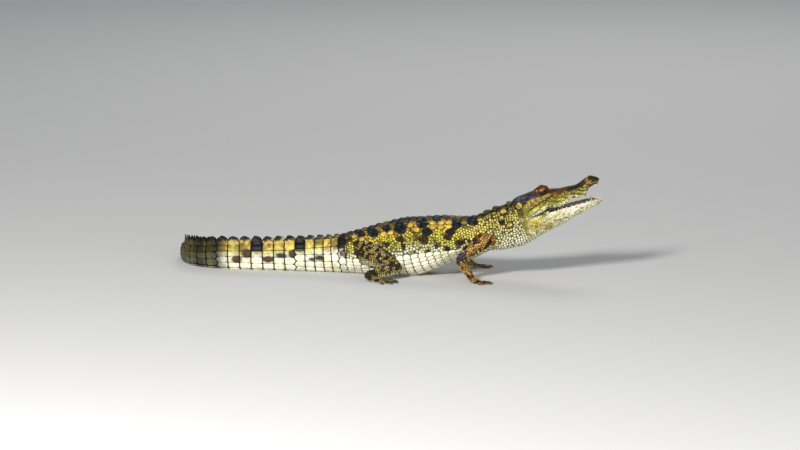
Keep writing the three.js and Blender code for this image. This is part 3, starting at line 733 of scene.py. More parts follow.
def place(points):
    """Everything that the sizes, colours and unwraps of scales are worked out from."""
    station, angle, out = body_place(points)
    head, jaw = in_head(points), in_jaw(points)
    away, limb, down = limb_place(points)
    kind = np.full(len(points), BODY_KIND)
    in_front = (head[:, 0] > -7) & (np.abs(head[:, 1]) < 62) & (head[:, 2] > -95) & (head[:, 2] < 25)
    kind[in_front] = SKULL_KIND
    below = (jaw[:, 2] < at_u(JAW, jaw[:, 0], 1) + 0.5) & in_front
    kind[below] = JAW_KIND
    kind[(away < 4) & (out > 0.94) & ~in_front] = LIMB_KIND
    length = length_at(station)
    t = np.abs(angle) / np.pi
    t = t - (belly_edge(length) - BELLY_EDGE) * smooth(0.2, 0.5, t)
    return {"kind": kind, "station": station, "angle": angle, "t": t, "length": length,
            "tail": length - VENT, "head": head, "jaw": jaw, "limb": limb, "down": down, "points": points}


def in_mouth(at, normal):
    """True on the palate and on the floor of the mouth."""
    head, jaw = at["head"], at["jaw"]
    down = normal @ HEAD_AXES[2] < -0.45
    up = normal @ JAW_AXES[2] > 0.45
    lip = at_u(SKULL, head[:, 0], 2)
    rim = at_u(JAW, jaw[:, 0], 1)
    palate = down & (head[:, 0] > 40) & (head[:, 2] < lip + 9) & (head[:, 2] > lip - 3)
    palate &= np.abs(head[:, 1]) < at_u(np.array(SKULL)[:, [0, 3]], head[:, 0], 1) - 2.0
    floor = up & (jaw[:, 0] > 30) & (jaw[:, 2] > rim - 8) & (jaw[:, 2] < rim + 3)
    floor &= np.abs(jaw[:, 1]) < at_u(np.array(JAW)[:, [0, 3]], jaw[:, 0], 1) - 3.0
    return (palate | floor) & ((at["kind"] == SKULL_KIND) | (at["kind"] == JAW_KIND))


# ------ markings
BLACK, BLUE_BLACK, DARK, OLIVE = rgb("100f0b"), rgb("13161c"), rgb("2b2410"), rgb("615a22")
GOLD, YELLOW, GREEN, PALE, CREAM = rgb("cca743"), rgb("b9aa3a"), rgb("948b36"), rgb("cbcb98"), rgb("f1ead0")
OCHRE, BROWN, RUST, PINK, GREY = rgb("ad7a34"), rgb("46290f"), rgb("6e3c1c"), rgb("b58a78"), rgb("27272a")
KHAKI = rgb("b3a45a")
TAN, MUSTARD, STRAW = (GOLD + KHAKI) / 2, (YELLOW + KHAKI) / 2, (KHAKI + PALE) / 2

# Colours from the midline of the back (0) round to that of the belly (1).
BACK_COLOURS = [(0, BLACK * 1.3), (0.085, BLUE_BLACK * 1.3), (0.12, OLIVE * 0.6), (0.145, GOLD),
                (0.26, GOLD * 0.9), (0.34, YELLOW * 1.1), (0.44, GREEN * 1.45), (0.49, PALE * 0.95),
                (0.54, CREAM), (1, CREAM)]
TAIL_COLOURS = [(0, OLIVE * 0.4), (0.07, OLIVE * 0.8), (0.12, TAN * 0.85), (0.24, TAN),
                (0.34, MUSTARD * 1.25), (0.39, MUSTARD * 1.25), (0.435, PALE), (0.5, CREAM * 0.95),
                (1, CREAM)]
NECK_COLOURS = [(0, BLACK * 2), (0.09, OLIVE * 0.45), (0.15, OLIVE * 1.2), (0.2, KHAKI * 0.95),
                (0.38, MUSTARD * 1.1), (0.47, STRAW * 1.05), (0.56, PALE * 1.05), (0.66, CREAM), (1, CREAM)]

# Blotches of the right side: x, z, half length, half height, how brown. The left side has them shifted.
BLOTCHES = [
    (-144, 80, 13, 8, 0), (-83, 96, 14, 9, 0), (-22, 109, 13, 12, 0), (27, 121, 14, 10, 0),
    (104, 120, 13, 9, 0), (141, 128, 12, 9, 0), (37, 104, 13, 9, 0), (90, 106, 10, 8, 0.1),
    (-21, 86, 9, 7, 1), (31, 87, 12, 9, 1), (84, 94, 10, 7, 1), (-16, 72, 6, 6, 0.8), (8, 59, 8, 5, 0.9),
    (43, 65, 6, 5, 0.8), (61, 75, 10, 6, 0.9), (-52, 74, 8, 5, 0.6), (112, 83, 12, 6, 0.9),
    (84, 68, 6, 7, 0.9), (-120, 70, 9, 5, 0.4), (60, 128, 10, 6, 0), (-52, 106, 12, 6, 0),
    (-113, 91, 12, 6, 0), (131, 88, 6, 4, 0.9), (206, 130, 8, 6, 0),
]
SIDE_SHIFT = 9  # of the left side's patches, towards the tail
SADDLES = [4, 103, 208, 300]  # distances along the tail of its dark saddles
# Patches low on the tail: x, z, half length, half height.
LOWER_PATCHES = [(-146, 47, 13, 8), (-203, 34, 11, 6), (-221, 30, 7, 4), (-266, 40, 8, 9), (-291, 36, 12, 6),
                 (-320, 27, 13, 7), (-369, 38, 12, 11), (-391, 24, 12, 9)]


def ramp(stops, t):
    keys = [s[0] for s in stops]
    return np.stack([np.interp(t, keys, [s[1][c] for s in stops]) for c in range(3)], 1)


def mix(a, b, share):
    share = np.clip(share, 0, 1)[:, None]
    return a * (1 - share) + b * share


def patches(at, rows):
    """How far inside a listed patch each point is, on either side."""
    left = at["angle"] > 0
    x = at["points"][:, 0] + np.where(left, SIDE_SHIFT, 0)
    z = at["points"][:, 2]
    best, value = np.zeros(len(x)), np.zeros(len(x))
    for row in rows:
        inside = smooth(1.15, 0.9, np.hypot((x - row[0]) / row[2], (z - row[1]) / row[3]))
        value = np.where(inside > best, row[4] if len(row) > 4 else 1, value)
        best = np.maximum(best, inside)
    return best, value


def body_colours(at):
    p, t, tail, length = at["points"], at["t"], at["tail"], at["length"]
    wave = noise(p, 22, 1) - 0.5
    colour = ramp(BACK_COLOURS, np.clip(t + 0.06 * wave, 0, 1))
    back = smooth(0.13, 0.11, t)
    band = cloud(0.5, 0.7, np.stack([length, t * 60, t * 0], 1), 19, 71)
    colour = mix(colour, mix(OLIVE * 0.8, OCHRE * 0.7, wave + 0.5), back * band * 0.85)
    neck = smooth(VENT - 260, VENT - 290, length)
    colour = mix(colour, ramp(NECK_COLOURS, np.clip(t + 0.1 * wave, 0, 1)), neck)
    tail_share = smooth(-14, 10, tail)
    lifted = t + 0.05 * wave + 0.045 * smooth(150, 40, tail)
    colour = mix(colour, ramp(TAIL_COLOURS, np.clip(lifted, 0, 1)), tail_share)
    # The neck is browner behind the jaws, in streaks that run down its side.
    brown = cloud(0.42, 0.62, np.stack([length * 1.6, t * 60, t * 0], 1), 11, 74) * smooth(92, 74, length)
    colour = mix(colour, mix(BROWN * 1.5, OLIVE * 0.7, wave + 0.5),
                 brown * smooth(0.6, 0.45, t) * 0.75)
    behind = smooth(46, 20, length) * window(t, 0.3, 0.4, 0.56, 0.66)
    colour = mix(colour, colour * (0.62, 0.62, 0.5), behind)
    bright = window(length, 95, 125, 205, 235) * window(t, 0.2, 0.26, 0.46, 0.52)
    colour = colour * (1 + 0.2 * bright)[:, None]
    # Dusky spots scattered over the back and the neck.
    dusk = cloud(0.62, 0.74, p, 15, 4) * smooth(0.5, 0.36, t)
    colour = mix(colour, OLIVE * 0.45, dusk * 0.75 * (1 - bright))
    inside, brown = patches(at, BLOTCHES)
    spot = mix(BLUE_BLACK, BROWN * 0.8, brown)
    colour = mix(colour, spot, inside * (1 - tail_share * 0.6))
    # Brown smears along the tail's bands, and a greenish mottle on all that is pale.
    smear = cloud(0.54, 0.68, np.stack([tail * 1.5, p[:, 2], p[:, 2] * 0], 1), 8, 72)
    colour = mix(colour, mix(OLIVE * 0.75, OCHRE * 0.8, wave + 0.5),
                 smear * tail_share * smooth(0.5, 0.36, t) * 0.75)
    colour = mix(colour, PALE * 0.95, cloud(0.45, 0.7, p, 9, 73) * smooth(0.4, 0.5, t) * 0.55)
    # Saddles, lower patches and the dusky end of the tail.
    whorl = np.clip(np.searchsorted(WHORLS, tail) - 1, 0, len(WHORLS) - 2)
    centre = (WHORLS[whorl] + WHORLS[whorl + 1]) / 2
    nearest = np.abs(centre[:, None] - np.array(SADDLES)).min(1)
    over = (nearest < (WHORLS[whorl + 1] - WHORLS[whorl]) / 2) * smooth(0.425, 0.385, t + 0.03 * wave)
    over = over * (tail > 0)
    colour = mix(colour, BLACK, over)
    inside, _ = patches(at, LOWER_PATCHES)
    colour = mix(colour, BROWN * 0.75, inside * 0.95 * tail_share)
    end = smooth(268, 300, tail)
    dim = mix(OLIVE * 0.55, PALE * 0.45, smooth(0.55, 0.85, t))
    band = cloud(0.45, 0.6, np.stack([tail, tail * 0, tail * 0], 1), 26, 9)
    colour = mix(colour, mix(dim, BLACK * 1.3, 0.35 + 0.6 * band), end * 0.93)
    # Dark speckles that break up every plain stretch.
    fleck = cloud(0.70, 0.8, p, 3.2, 51) * smooth(0.62, 0.5, t)
    return mix(colour, BLACK * 2, fleck * 0.5)


EAR_SIDE = 17  # the marks of the head's side start this far out from its middle


def skull_colours(at):
    p, head = at["points"], at["head"]
    u, side, w = head[:, 0], np.abs(head[:, 1]), head[:, 2]
    lip, top = at_u(SKULL, u, 2), at_u(SKULL, u, 1)
    q = (w - lip) / (top - lip)
    wave = noise(p, 9, 2) - 0.5
    flank = mix(MUSTARD * 1.1, GREEN * 1.1, cloud(0.3, 0.7, p, 7, 5))
    flank = mix(flank, PALE, smooth(0.35, 0.10, q + 0.2 * wave) * smooth(10, 34, u) * 0.9)
    flank = flank * (0.8 + 0.55 * window(u, 14, 34, 50, 78) + 0.2 * smooth(50, 78, u))[:, None]
    # Slanting dark streaks on the snout's side, denser towards the nose.
    phase = (u * 0.85 + w * 1.9) / 2.5 + 4.5 * wave
    streak = smooth(0.1, 0.75, np.sin(phase)) * smooth(0.08, 0.3, q) * smooth(46, 70, u)
    flank = mix(flank, DARK, streak * (0.55 + 0.3 * smooth(110, 150, u)))
    roof = mix(BROWN * 1.3, BLACK * 2, cloud(0.4, 0.65, p, 11, 6))
    ruddy = mix(RUST * 0.9, OCHRE * 0.9, cloud(0.5, 0.72, p, 6, 47))
    roof = mix(roof, ruddy, bell((u - 86) / 14) * smooth(0.9, 0.7, q) * 0.85)
    roof = mix(roof, BLACK * 1.8, smooth(110, 135, u) * 0.6)
    speck = cloud(0.52, 0.64, p, 2.0, 36) * smooth(0.2, 0.5, q) * smooth(40, 60, u)
    flank = mix(flank, DARK * 0.8, speck * 0.85)
    colour = mix(flank, roof, smooth(0.56, 0.72, q + 0.3 * wave))
    olive = bell((u - 20) / 26, (w + 40) / 12)
    colour = mix(colour, OLIVE * 1.3, olive * 0.45)
    table = smooth(-11, -6, w) * smooth(52, 44, u) * smooth(34, 28, side)
    grey = mix(GREY, rgb("4c4a55"), cloud(0.5, 0.75, p, 8, 33))
    colour = mix(colour, grey, table)
    dome = np.exp(-(((u - 60) / 19) ** 4) - ((side - 17) / 13) ** 2) * smooth(-20, -12, w)
    colour = mix(colour, RUST * 0.55, dome * 1.5)
    # Painted highlight: a golden stripe along the dome over the eye.
    stripe = bell((u - 55) / 11, (w - 1.5 + 0.05 * (u - 55)) / 2.6) * (side > EAR_SIDE)
    colour = mix(colour, rgb("c78f33"), stripe * 1.2)
    # Painted shade: black in the ear slit under the table's edge.
    slit = bell((w + 10.5) / 4.6, power=4) * window(u, 2, 10, 60, 70) * (side > 19)
    colour = mix(colour, mix(BLACK * 1.5, rgb("3a3a42"), cloud(0.5, 0.7, p, 5, 46)), slit)
    thick = 7.5 - 4.2 * smooth(42, 56, u)
    temple = bell((w + 21.5 - (u - 30) * 0.06) / thick, power=4) * window(u, 17, 26, 74, 82)
    temple = temple * (side > EAR_SIDE)
    colour = mix(colour, mix(rgb("b09648"), rgb("756030"), cloud(0.42, 0.66, p, 4, 34)), temple * 1.3)
    behind = smooth(12, 4, u) * window(w, -44, -36, -14, -8)
    colour = mix(colour, OLIVE * 0.35, behind * 0.8)
    # Painted shade along two creases of the cheek.
    crease = bell((w + 30.5 - (u - 30) * 0.16) / 1.9) * window(u, 14, 24, 70, 80)
    lower = bell((w + 37 - (u - 42) * 0.36) / 1.6) * window(u, 20, 34, 74, 84)
    colour = mix(colour, DARK * 0.7, np.maximum(crease, lower * 0.8) * (side > EAR_SIDE))
    # Broken dark lines along the cheek and the side of the snout.
    lines = smooth(0.35, 0.9, np.sin((w - 0.22 * u) / 0.95 + 3.0 * noise(p, 11, 44)))
    lines = lines * cloud(0.42, 0.55, p, 8, 45) * smooth(30, 48, u) * smooth(0.75, 0.6, q)
    colour = mix(colour, DARK * 0.8, lines * 0.6 * (1 - temple))
    nose = smooth(156, 168, u)
    colour = mix(colour, mix(DARK * 0.8, rgb("8f6c36"), cloud(0.55, 0.75, p, 5, 8)), nose * 0.9)
    spots = cloud(0.58, 0.68, p, 4.2, 12) * smooth(0.26, 0.12, q) * (u > 62)
    colour = mix(colour, BLACK * 1.5, spots * 0.9)
    # Painted shade: a black line along the upper lip, where the jaws close towards the mouth's corner.
    wide = 2.4 + 3.2 * smooth(54, 60, u)
    gape = bell((w - lip) / wide) * window(u, 22, 34, 65, 69)
    return mix(colour, BLACK, gape * 1.2)


def jaw_colours(at):
    p, jaw = at["points"], at["jaw"]
    u, w = jaw[:, 0], jaw[:, 2]
    rim, base = at_u(JAW, u, 1), at_u(JAW, u, 2)
    q = (w - base) / (rim - base)
    colour = mix(CREAM, PALE, cloud(0.4, 0.7, p, 14, 3) * 0.6)
    colour = mix(colour, rgb("c9c58a"), smooth(130, 90, u) * 0.5)
    colour = mix(colour, YELLOW * 1.05, smooth(66, 20, u) * smooth(0.35, 0.8, q) * 0.7)
    dusky = mix(KHAKI * 0.8, OLIVE * 0.75, cloud(0.4, 0.62, p, 5, 38))
    colour = mix(colour, dusky, smooth(34, 14, u) * smooth(0.15, 0.4, q) * 0.75)
    marks = cloud(0.55, 0.7, p * (1, 1, 1.6), 6.5, 7) * window(q, 0.15, 0.35, 0.68, 0.85)
    colour = mix(colour, mix(GREEN * 0.75, rgb("94803c"), cloud(0.5, 0.6, p, 9, 37)), marks * 0.8)
    for centre, height in ((42, 0.52), (66, 0.3)):
        patch = bell((u - centre) / 9, (q - height) / 0.15)
        colour = mix(colour, rgb("a38c3e"), patch * 1.4 * (0.4 + 0.9 * cloud(0.35, 0.6, p, 4, 35)))
    streak = bell((q - 0.8 - (u - 50) * 0.006) / 0.07) * window(u, 20, 34, 64, 76)
    colour = mix(colour, YELLOW * 0.9, streak)
    throat = smooth(8, -8, u)
    colour = mix(colour, PALE * 0.9, throat * 0.6)
    tip = smooth(176, 190, u) * smooth(0.1, 0.4, q)
    colour = mix(colour, OLIVE, tip * 0.4)
    # Painted shade: a black line along the lower jaw's rim, where the jaws close towards the mouth's corner.
    gape = bell((w - rim) / 2.4) * window(u, 26, 40, 66, 74)
    return mix(colour, BLACK, gape * 1.2)


def limb_colours(at, normal):
    p = at["points"]
    fore = at["limb"] < 2
    rough = noise(p, 7.5, 13)
    arm = mix(rgb("a1793c"), RUST * 1.3, cloud(0.4, 0.65, p, 14, 14))
    arm = mix(arm, rgb("caa65e"), cloud(0.52, 0.68, p, 6, 15) * 0.85)
    arm = mix(arm, BLACK * 1.2, smooth(0.54, 0.64, rough) * 0.93)
    leg = mix(rgb("86723f"), rgb("ab924e"), cloud(0.5, 0.68, p, 6, 16))
    leg = mix(leg, PALE * 0.7, cloud(0.70, 0.8, p, 11, 17) * 0.8)
    leg = mix(leg, BLACK * 1.3, smooth(0.48, 0.6, rough) * 0.92)
    colour = np.where(fore[:, None], arm, leg)
    under = smooth(-0.15, -0.6, normal[:, 2])
    colour = mix(colour, PALE, under * 0.9)
    # Painted sheen: a blue-grey patch on the point of the elbow.
    elbow = bell((at["down"] - 1.0) / 0.14) * fore
    return mix(colour, rgb("3d4550"), elbow * 0.8)


def markings(at, normal):
    """The animal's colour at each place, for skin and scales alike."""
    colour = body_colours(at)
    made = {SKULL_KIND: skull_colours(at), JAW_KIND: jaw_colours(at), LIMB_KIND: limb_colours(at, normal)}
    for kind, own in made.items():
        colour = np.where((at["kind"] == kind)[:, None], own, colour)
    return np.clip(colour, 0, 1)


# ------ scales: where each one grows
LONG, WIDE, HIGH, KEEL, RANK = range(6, 11)  # columns of the table of scales, after place and way
# Where two scales crowd each other, the one with the lower rank stays.
SHIELDS, KEELED, PLATES, FLANKS, SMALL, LIMB_ROWS, DIGIT_ROWS, FILLING = -1, 0, 1, 2, 3, 4, 5, 9


class Seeds:
    """Places of scales, with the way towards the tail, half length, half width, height, keel and rank."""

    def __init__(self):
        self.rows = []

    def add(self, points, way, long, wide, high, keel, rank):
        n = len(points)
        values = [np.broadcast_to(np.asarray(v, float), n)[:, None] for v in (long, wide, high, keel, rank)]
        self.rows.append(np.hstack([points, np.broadcast_to(way, (n, 3))] + values))


def ring_arc(station, start, stop, grow=-SKIN_DEPTH):
    """Angles and arc distances around one side of the body's section."""
    angles = np.linspace(start, stop, 160)
    p = body_point(np.full(160, station), angles, grow)
    return angles, distances(p)


def body_row(seeds, station, sides_arc, half_long, half_wide, high, keel, rank, jitter=0.0):
    """Scales at given arc distances from the midline of the back, on both sides."""
    angles, arc = ring_arc(station, 0, np.pi)
    for side in (-1, 1):
        at = np.interp(sides_arc, arc, angles) * side
        stations = np.full(len(at), float(station)) + RNG.normal(0, 1, len(at)) * jitter / 45
        at = at + RNG.normal(0, 1, len(at)) * jitter / 60
        p = body_point(stations, at, -SKIN_DEPTH)
        seeds.add(p, body_section(stations)[1], half_long, half_wide, high, keel, rank)


def tail_seeds(seeds):
    for k in range(len(WHORLS) - 1):
        pitch = WHORLS[k + 1] - WHORLS[k]
        station = float(station_at(VENT + (WHORLS[k] + WHORLS[k + 1]) / 2))
        _, arc = ring_arc(station, 0, np.pi)
        start = crest_offset(k) + (2.8 if k < DOUBLE_WHORLS else 1.6)
        count = max(2, round((arc[-1] - start) / max(7.5, 16.5 - 0.22 * k)))
        step = (arc[-1] - start) / count
        rows = start + step * (np.arange(count) + 0.5)
        keel = np.where(rows < start + step, 0.8, 0.0)
        body_row(seeds, station, rows, pitch / 2, step / 2, 1.5, keel, KEELED)
        if crest_offset(k) > 8:
            inner = crest_offset(k) - 3.0
            count = max(1, round(inner / 11))
            rows = inner * (np.arange(count) + 0.5) / count
            body_row(seeds, station, rows, pitch / 2, inner / count / 2, 1.5, 0.7, KEELED)


TRUNK_FRONT = 118.0  # distance along the spine where the shields of the back start
SHIELD_PITCH = 17.2  # from one row of shields to the next
BELLY_PLATES = 9  # in each row, from the flank to the midline


def trunk_share(station):
    """The trunk's half width as a share of its greatest, within limits, for the sizes of the shields."""
    return np.clip(float(body_section(np.array([station]))[4][0]) / 66, 0.72, 1.04)


def trunk_seeds(seeds):
    rows = int((VENT - TRUNK_FRONT) / SHIELD_PITCH)
    pitch = (VENT - TRUNK_FRONT) / rows
    for i in range(rows):
        length = TRUNK_FRONT + pitch * (i + 0.5)
        station = float(station_at(length))
        angles, arc = ring_arc(station, 0, np.pi)
        share = trunk_share(station)
        ends = np.array([8.3, 24.6, 40.5, 55.0]) * share
        body_row(seeds, station, ends[:3], pitch / 2, 8.0 * share, 2.1, [2.0, 1.9, 1.7], KEELED, 0.5)
        body_row(seeds, station, ends[3:], pitch / 2 * 0.86, 6.6 * share, 1.9, 1.2, PLATES, 1.2)
        edge = float(np.interp(belly_edge(length) * np.pi, angles, arc))
        step = (arc[-1] - edge) / BELLY_PLATES
        middles = edge + step * (np.arange(BELLY_PLATES) + 0.5)
        body_row(seeds, station, middles, pitch / 2, step / 2, 1.3, 0, PLATES)
    start, pitch = TRUNK_FRONT - 6, 5.5
    for i in range(int((VENT - start + 8) / pitch)):
        station = float(station_at(start + pitch * i))
        angles, arc = ring_arc(station, 0, np.pi)
        inner = 62 * trunk_share(station)
        edge = float(np.interp((belly_edge(start + pitch * i) - 0.005) * np.pi, angles, arc))
        rows, position = [], inner + (pitch / 2 if i % 2 else 0)
        while position < edge:
            rows.append(position)
            position += 5.9 - 0.7 * smooth(inner, inner + 30, position)
        if rows:
            body_row(seeds, station, np.array(rows), pitch / 2, pitch / 2, 1.5, 0.3, FLANKS, 0.7)


# The shields of the neck: distance along the spine and from the midline, half length, half width, height.
NUCHAL = [
    [56, 9.5, 10.5, 9, 3.8], [70.5, 31, 10.5, 11.5, 3.4], [78, 47, 8.5, 6.5, 2.0], [64.5, 67, 9.5, 7.5, 1.9],
    [89, 10, 11, 9.8, 4.0], [93, 27, 7, 6.5, 2.0], [112, 10.5, 11, 9.8, 3.8],
]
REAR_DOME = (2.5, 25.5, -19, 11, 13, 2.8)  # on the head's rear corner: u, side, w, half sizes, height


# Plates of the skull table, larger than the rest: u, side.
TABLE_PLATES = [(8, 0), (24, 0), (40, 0), (6, 9.5), (6, 19), (17, 9), (17, 19.5), (29, 9), (29, 19),
                (41, 9.5), (41, 18)]


def neck_seeds(seeds):
    for length, out, long, wide, high in NUCHAL:
        body_row(seeds, float(station_at(length)), [out], long, wide, high, high * 0.75, SHIELDS)
    length = float(length_at(0.6))
    while length < TRUNK_FRONT + 4:
        station = float(station_at(length))
        angles, arc = ring_arc(station, 0, np.pi)
        position, rows, sizes = 0.0, [], []
        while position < arc[-1]:
            t = np.interp(position, arc, angles / np.pi)
            size = float(np.interp(t, [0, 0.3, 0.55, 0.75, 1], [4.7, 4.9, 5.5, 6.8, 7.4]))
            rows.append(position + size * 0.5)
            sizes.append(size / 2)
            position += size
        rows, sizes = np.array(rows), np.array(sizes)
        keep = rows < arc[-1]
        body_row(seeds, station, rows[keep], 2.7, sizes[keep], 1.35, 0.2, SMALL, 0.95)
        length += 5.4


def limb_seeds(seeds):
    for limb in LIMBS.values():
        for part, rows in enumerate(limb["chain"]):
            size = ((5.3, 4.6, 3.7) if limb["hand"] else (4.9, 4.5, 3.9))[part]
            scatter_on_limb(seeds, rows, size, 1.25 if part < 2 else 0.9, LIMB_ROWS)
        for digit in FINGERS if limb["hand"] else TOES:
            scatter_on_limb(seeds, digit_rows(limb, digit)[0], 3.1, 0.7, DIGIT_ROWS, wide=1.35)


def scatter_on_limb(seeds, rows, size, high, rank, wide=1.0):
    last = len(rows) - 1
    stations = np.linspace(0, last, 80)
    track = spline(rows, stations)
    length = distances(track[:, :3])
    for i, along in enumerate(np.arange(size * 0.4, length[-1], size * 0.92)):
        station = float(np.interp(along, length, stations))
        x, y, z, w, t = spline(rows, station)[0]
        girth = np.pi * (w + t)
        count = max(4, round(girth / (size * wide)))
        angle = 2 * np.pi * (np.arange(count) + (0.5 if i % 2 else 0)) / count
        direction = unit(spline_slope([r[:3] for r in rows], station))[0]
        side = unit(np.cross(direction, (0, 0, 1)))
        up = np.cross(side, direction)
        p = np.array([x, y, z]) + np.outer(np.sin(angle) * w, side) + np.outer(np.cos(angle) * t, up)
        p = p + RNG.normal(0, 0.07 * size, p.shape)
        seeds.add(p, direction, size / 2, size * wide / 2, high, high * 0.45, rank)


def head_seeds(seeds):
    # Rows around each jaw: where along it, the ring, how many of its points lie outside, and the height.
    for rows, places, ring_of, outside, way, high in (
            (SKULL, np.arange(-6, 190, 3.9), skull_ring, 61, -HEAD_AXES[0], 0.5),
            (JAW, np.arange(-4, 193, 5.4), jaw_ring, 49, -JAW_AXES[0], 0.6)):
        stations = np.linspace(0, len(rows) - 1, 400)
        u_of = spline(rows, stations)[:, 0]
        for i, u in enumerate(places):
            ring = ring_of(float(np.interp(u, u_of, stations)), HEAD_GROW)[:outside]
            size = 5.1 if rows is JAW else 3.7 if u > 55 else 4.3
            place_on_ring(seeds, ring, size, i, way, high, SMALL)
    back = -HEAD_AXES[0]
    u, side, w, long, wide, high = REAR_DOME
    for mirror in (-1, 1):
        spot = head_point(u, side * mirror, w)[None]
        seeds.add(spot, back, long, wide, high, 0.4, SHIELDS)
    for u, side in TABLE_PLATES:
        for mirror in ((-1, 1) if side else (1,)):
            spot = head_point(u + RNG.normal(0, 0.8), side * mirror, -1.0)[None]
            seeds.add(spot, back, 5.8, 4.9, 0.6, 0.0, PLATES)


def place_on_ring(seeds, ring, size, i, way, high, rank):
    arc = distances(ring)
    count = max(4, round(arc[-1] / size))
    at = arc[-1] * (np.arange(count) + (0.5 if i % 2 else 0.98)) / count
    at = at[at < arc[-1] - 0.5] + RNG.normal(0, 0.45, int((at < arc[-1] - 0.5).sum()))
    p = np.stack([np.interp(at, arc, ring[:, axis]) for axis in range(3)], 1)
    p = p + way * RNG.normal(0, 0.5, len(p))[:, None]
    seeds.add(p, way, size / 2, size / 2, high, 0.0, rank)


# ------ scales: finding their places on the skin
class Surface:
    """The skin as a surface that points can be dropped on."""

    def __init__(self, skin):
        mesh = skin.data
        mesh.calc_loop_triangles()
        self.points = coordinates(mesh)
        self.normals = normals(mesh)
        flat = np.zeros(len(mesh.loop_triangles) * 3, int)
        mesh.loop_triangles.foreach_get("vertices", flat)
        self.triangles = flat.reshape(-1, 3)
        self.tree = BVHTree.FromPolygons(self.points.tolist(), self.triangles.tolist())

    def drop(self, points):
        """Nearest places on the skin with their smooth normals and the distance moved."""
        found = [self.tree.find_nearest(p) for p in points.tolist()]
        place = np.array([f[0][:] for f in found])
        corners = self.triangles[[f[2] for f in found]]
        a, b, c = (self.points[corners[:, i]] for i in range(3))
        whole = np.cross(b - a, c - a)
        size = np.maximum((whole**2).sum(1), 1e-12)
        wa = (np.cross(b - place, c - place) * whole).sum(1) / size
        wb = (np.cross(c - place, a - place) * whole).sum(1) / size
        weights = np.clip(np.stack([wa, wb, 1 - wa - wb], 1), 0, 1)
        normal = unit((self.normals[corners] * weights[:, :, None]).sum(1))
        return place, normal, np.linalg.norm(points - place, axis=1)


CREST_ROOM = 1.9  # half width of the strip under an upright scute that stays free of scales


def on_crest(at):
    """True where an upright scute of the tail stands."""
    station, tail = at["station"], at["tail"]
    k = np.clip(np.searchsorted(WHORLS, tail) - 1, 0, DOUBLE_WHORLS + SINGLE_WHORLS - 1)
    across = np.abs(signed_power(np.sin(at["angle"]), 2 / ROUND_BACK)) * body_section(station)[4]
    offset = np.array([crest_offset(i) for i in range(DOUBLE_WHORLS + SINGLE_WHORLS)])[k]
    upper = (tail > 1) & (np.abs(at["angle"]) < 1.4) & (at["kind"] == BODY_KIND)
    return (np.abs(across - offset) < CREST_ROOM) & upper


def in_socket(at):
    head = at["head"]
    away = np.stack([head[:, 0] - EYE_U, np.abs(head[:, 1]) - EYE_SIDE, head[:, 2] - EYE_W], 1)
    out = np.linalg.norm(away / (10.2, 10.2, 8.6), axis=1)
    return (out < 1) & (np.abs(head[:, 1]) > EYE_SIDE - 1) & (at["kind"] == SKULL_KIND)


NOSTRIL = (176.0, 5.2, -14.5)  # u, side, w


def search_tree(places):
    tree = KDTree(len(places))
    for i, p in enumerate(places.tolist()):
        tree.insert(p, i)
    tree.balance()
    return tree


def thin_out(places, size, rank, crowd=0.84):
    """True for the scales that are not crowded by one of a better rank, or by an earlier one."""
    tree = search_tree(places)
    order = np.lexsort((np.arange(len(places)), rank))
    kept = np.zeros(len(places), bool)
    reach = float(size.max())
    for i in order:
        near = tree.find_range(places[i].tolist(), crowd * (size[i] + reach))
        laid = rank[i] <= PLATES
        kept[i] = not any(kept[j] and j != i and not (laid and rank[j] == rank[i])
                          and gap < crowd * (size[i] + size[j]) for _, j, gap in near)
    return kept


def wanted_size(at):
    """Half the spacing of the scales that fill what the rows leave open."""
    size = np.interp(at["t"], [0, 0.3, 0.5, 0.7, 1], [3.0, 2.6, 2.6, 4.6, 5.0])
    neck = smooth(VENT - 250, VENT - 285, at["length"])
    size = size * (1 - neck) + np.interp(at["t"], [0, 0.5, 1], [2.5, 3.0, 3.6]) * neck
    size = np.where(at["tail"] > -8, np.interp(at["tail"], [0, 200, 420], [4.5, 3.4, 2.2]), size)
    size = np.where(at["kind"] == SKULL_KIND, 2.2, size)
    size = np.where(at["kind"] == JAW_KIND, 2.6, size)
    limb = np.interp(at["down"], [0, 1.6, 2.2, 2.95, 3.05, 4], [2.8, 2.5, 2.1, 1.9, 1.5, 1.4])
    return np.where(at["kind"] == LIMB_KIND, limb, size)


def keep_out(at, normal):
    nostril = np.zeros(len(normal), bool)
    for mirror in (-1, 1):
        away = at["head"] - (NOSTRIL[0], NOSTRIL[1] * mirror, NOSTRIL[2])
        nostril |= np.linalg.norm(away / (3.4, 2.4, 3.0), axis=1) < 1
    return on_crest(at) | in_socket(at) | nostril | in_mouth(at, normal)


def tailward(at):
    """The way towards the tail, or towards the toes, at each place."""
    way = body_section(at["station"])[1].copy()
    way[at["kind"] == SKULL_KIND] = -HEAD_AXES[0]
    way[at["kind"] == JAW_KIND] = -JAW_AXES[0]
    for i in np.flatnonzero(at["kind"] == LIMB_KIND):
        limb = list(LIMBS.values())[at["limb"][i]]
        part = min(int(at["down"][i]), 2)
        rows = limb["chain"][part]
        way[i] = np.array(rows[-1][:3]) - np.array(rows[0][:3])
    return unit(way)


def part_of(at, chosen):
    return {key: value[chosen] for key, value in at.items()}


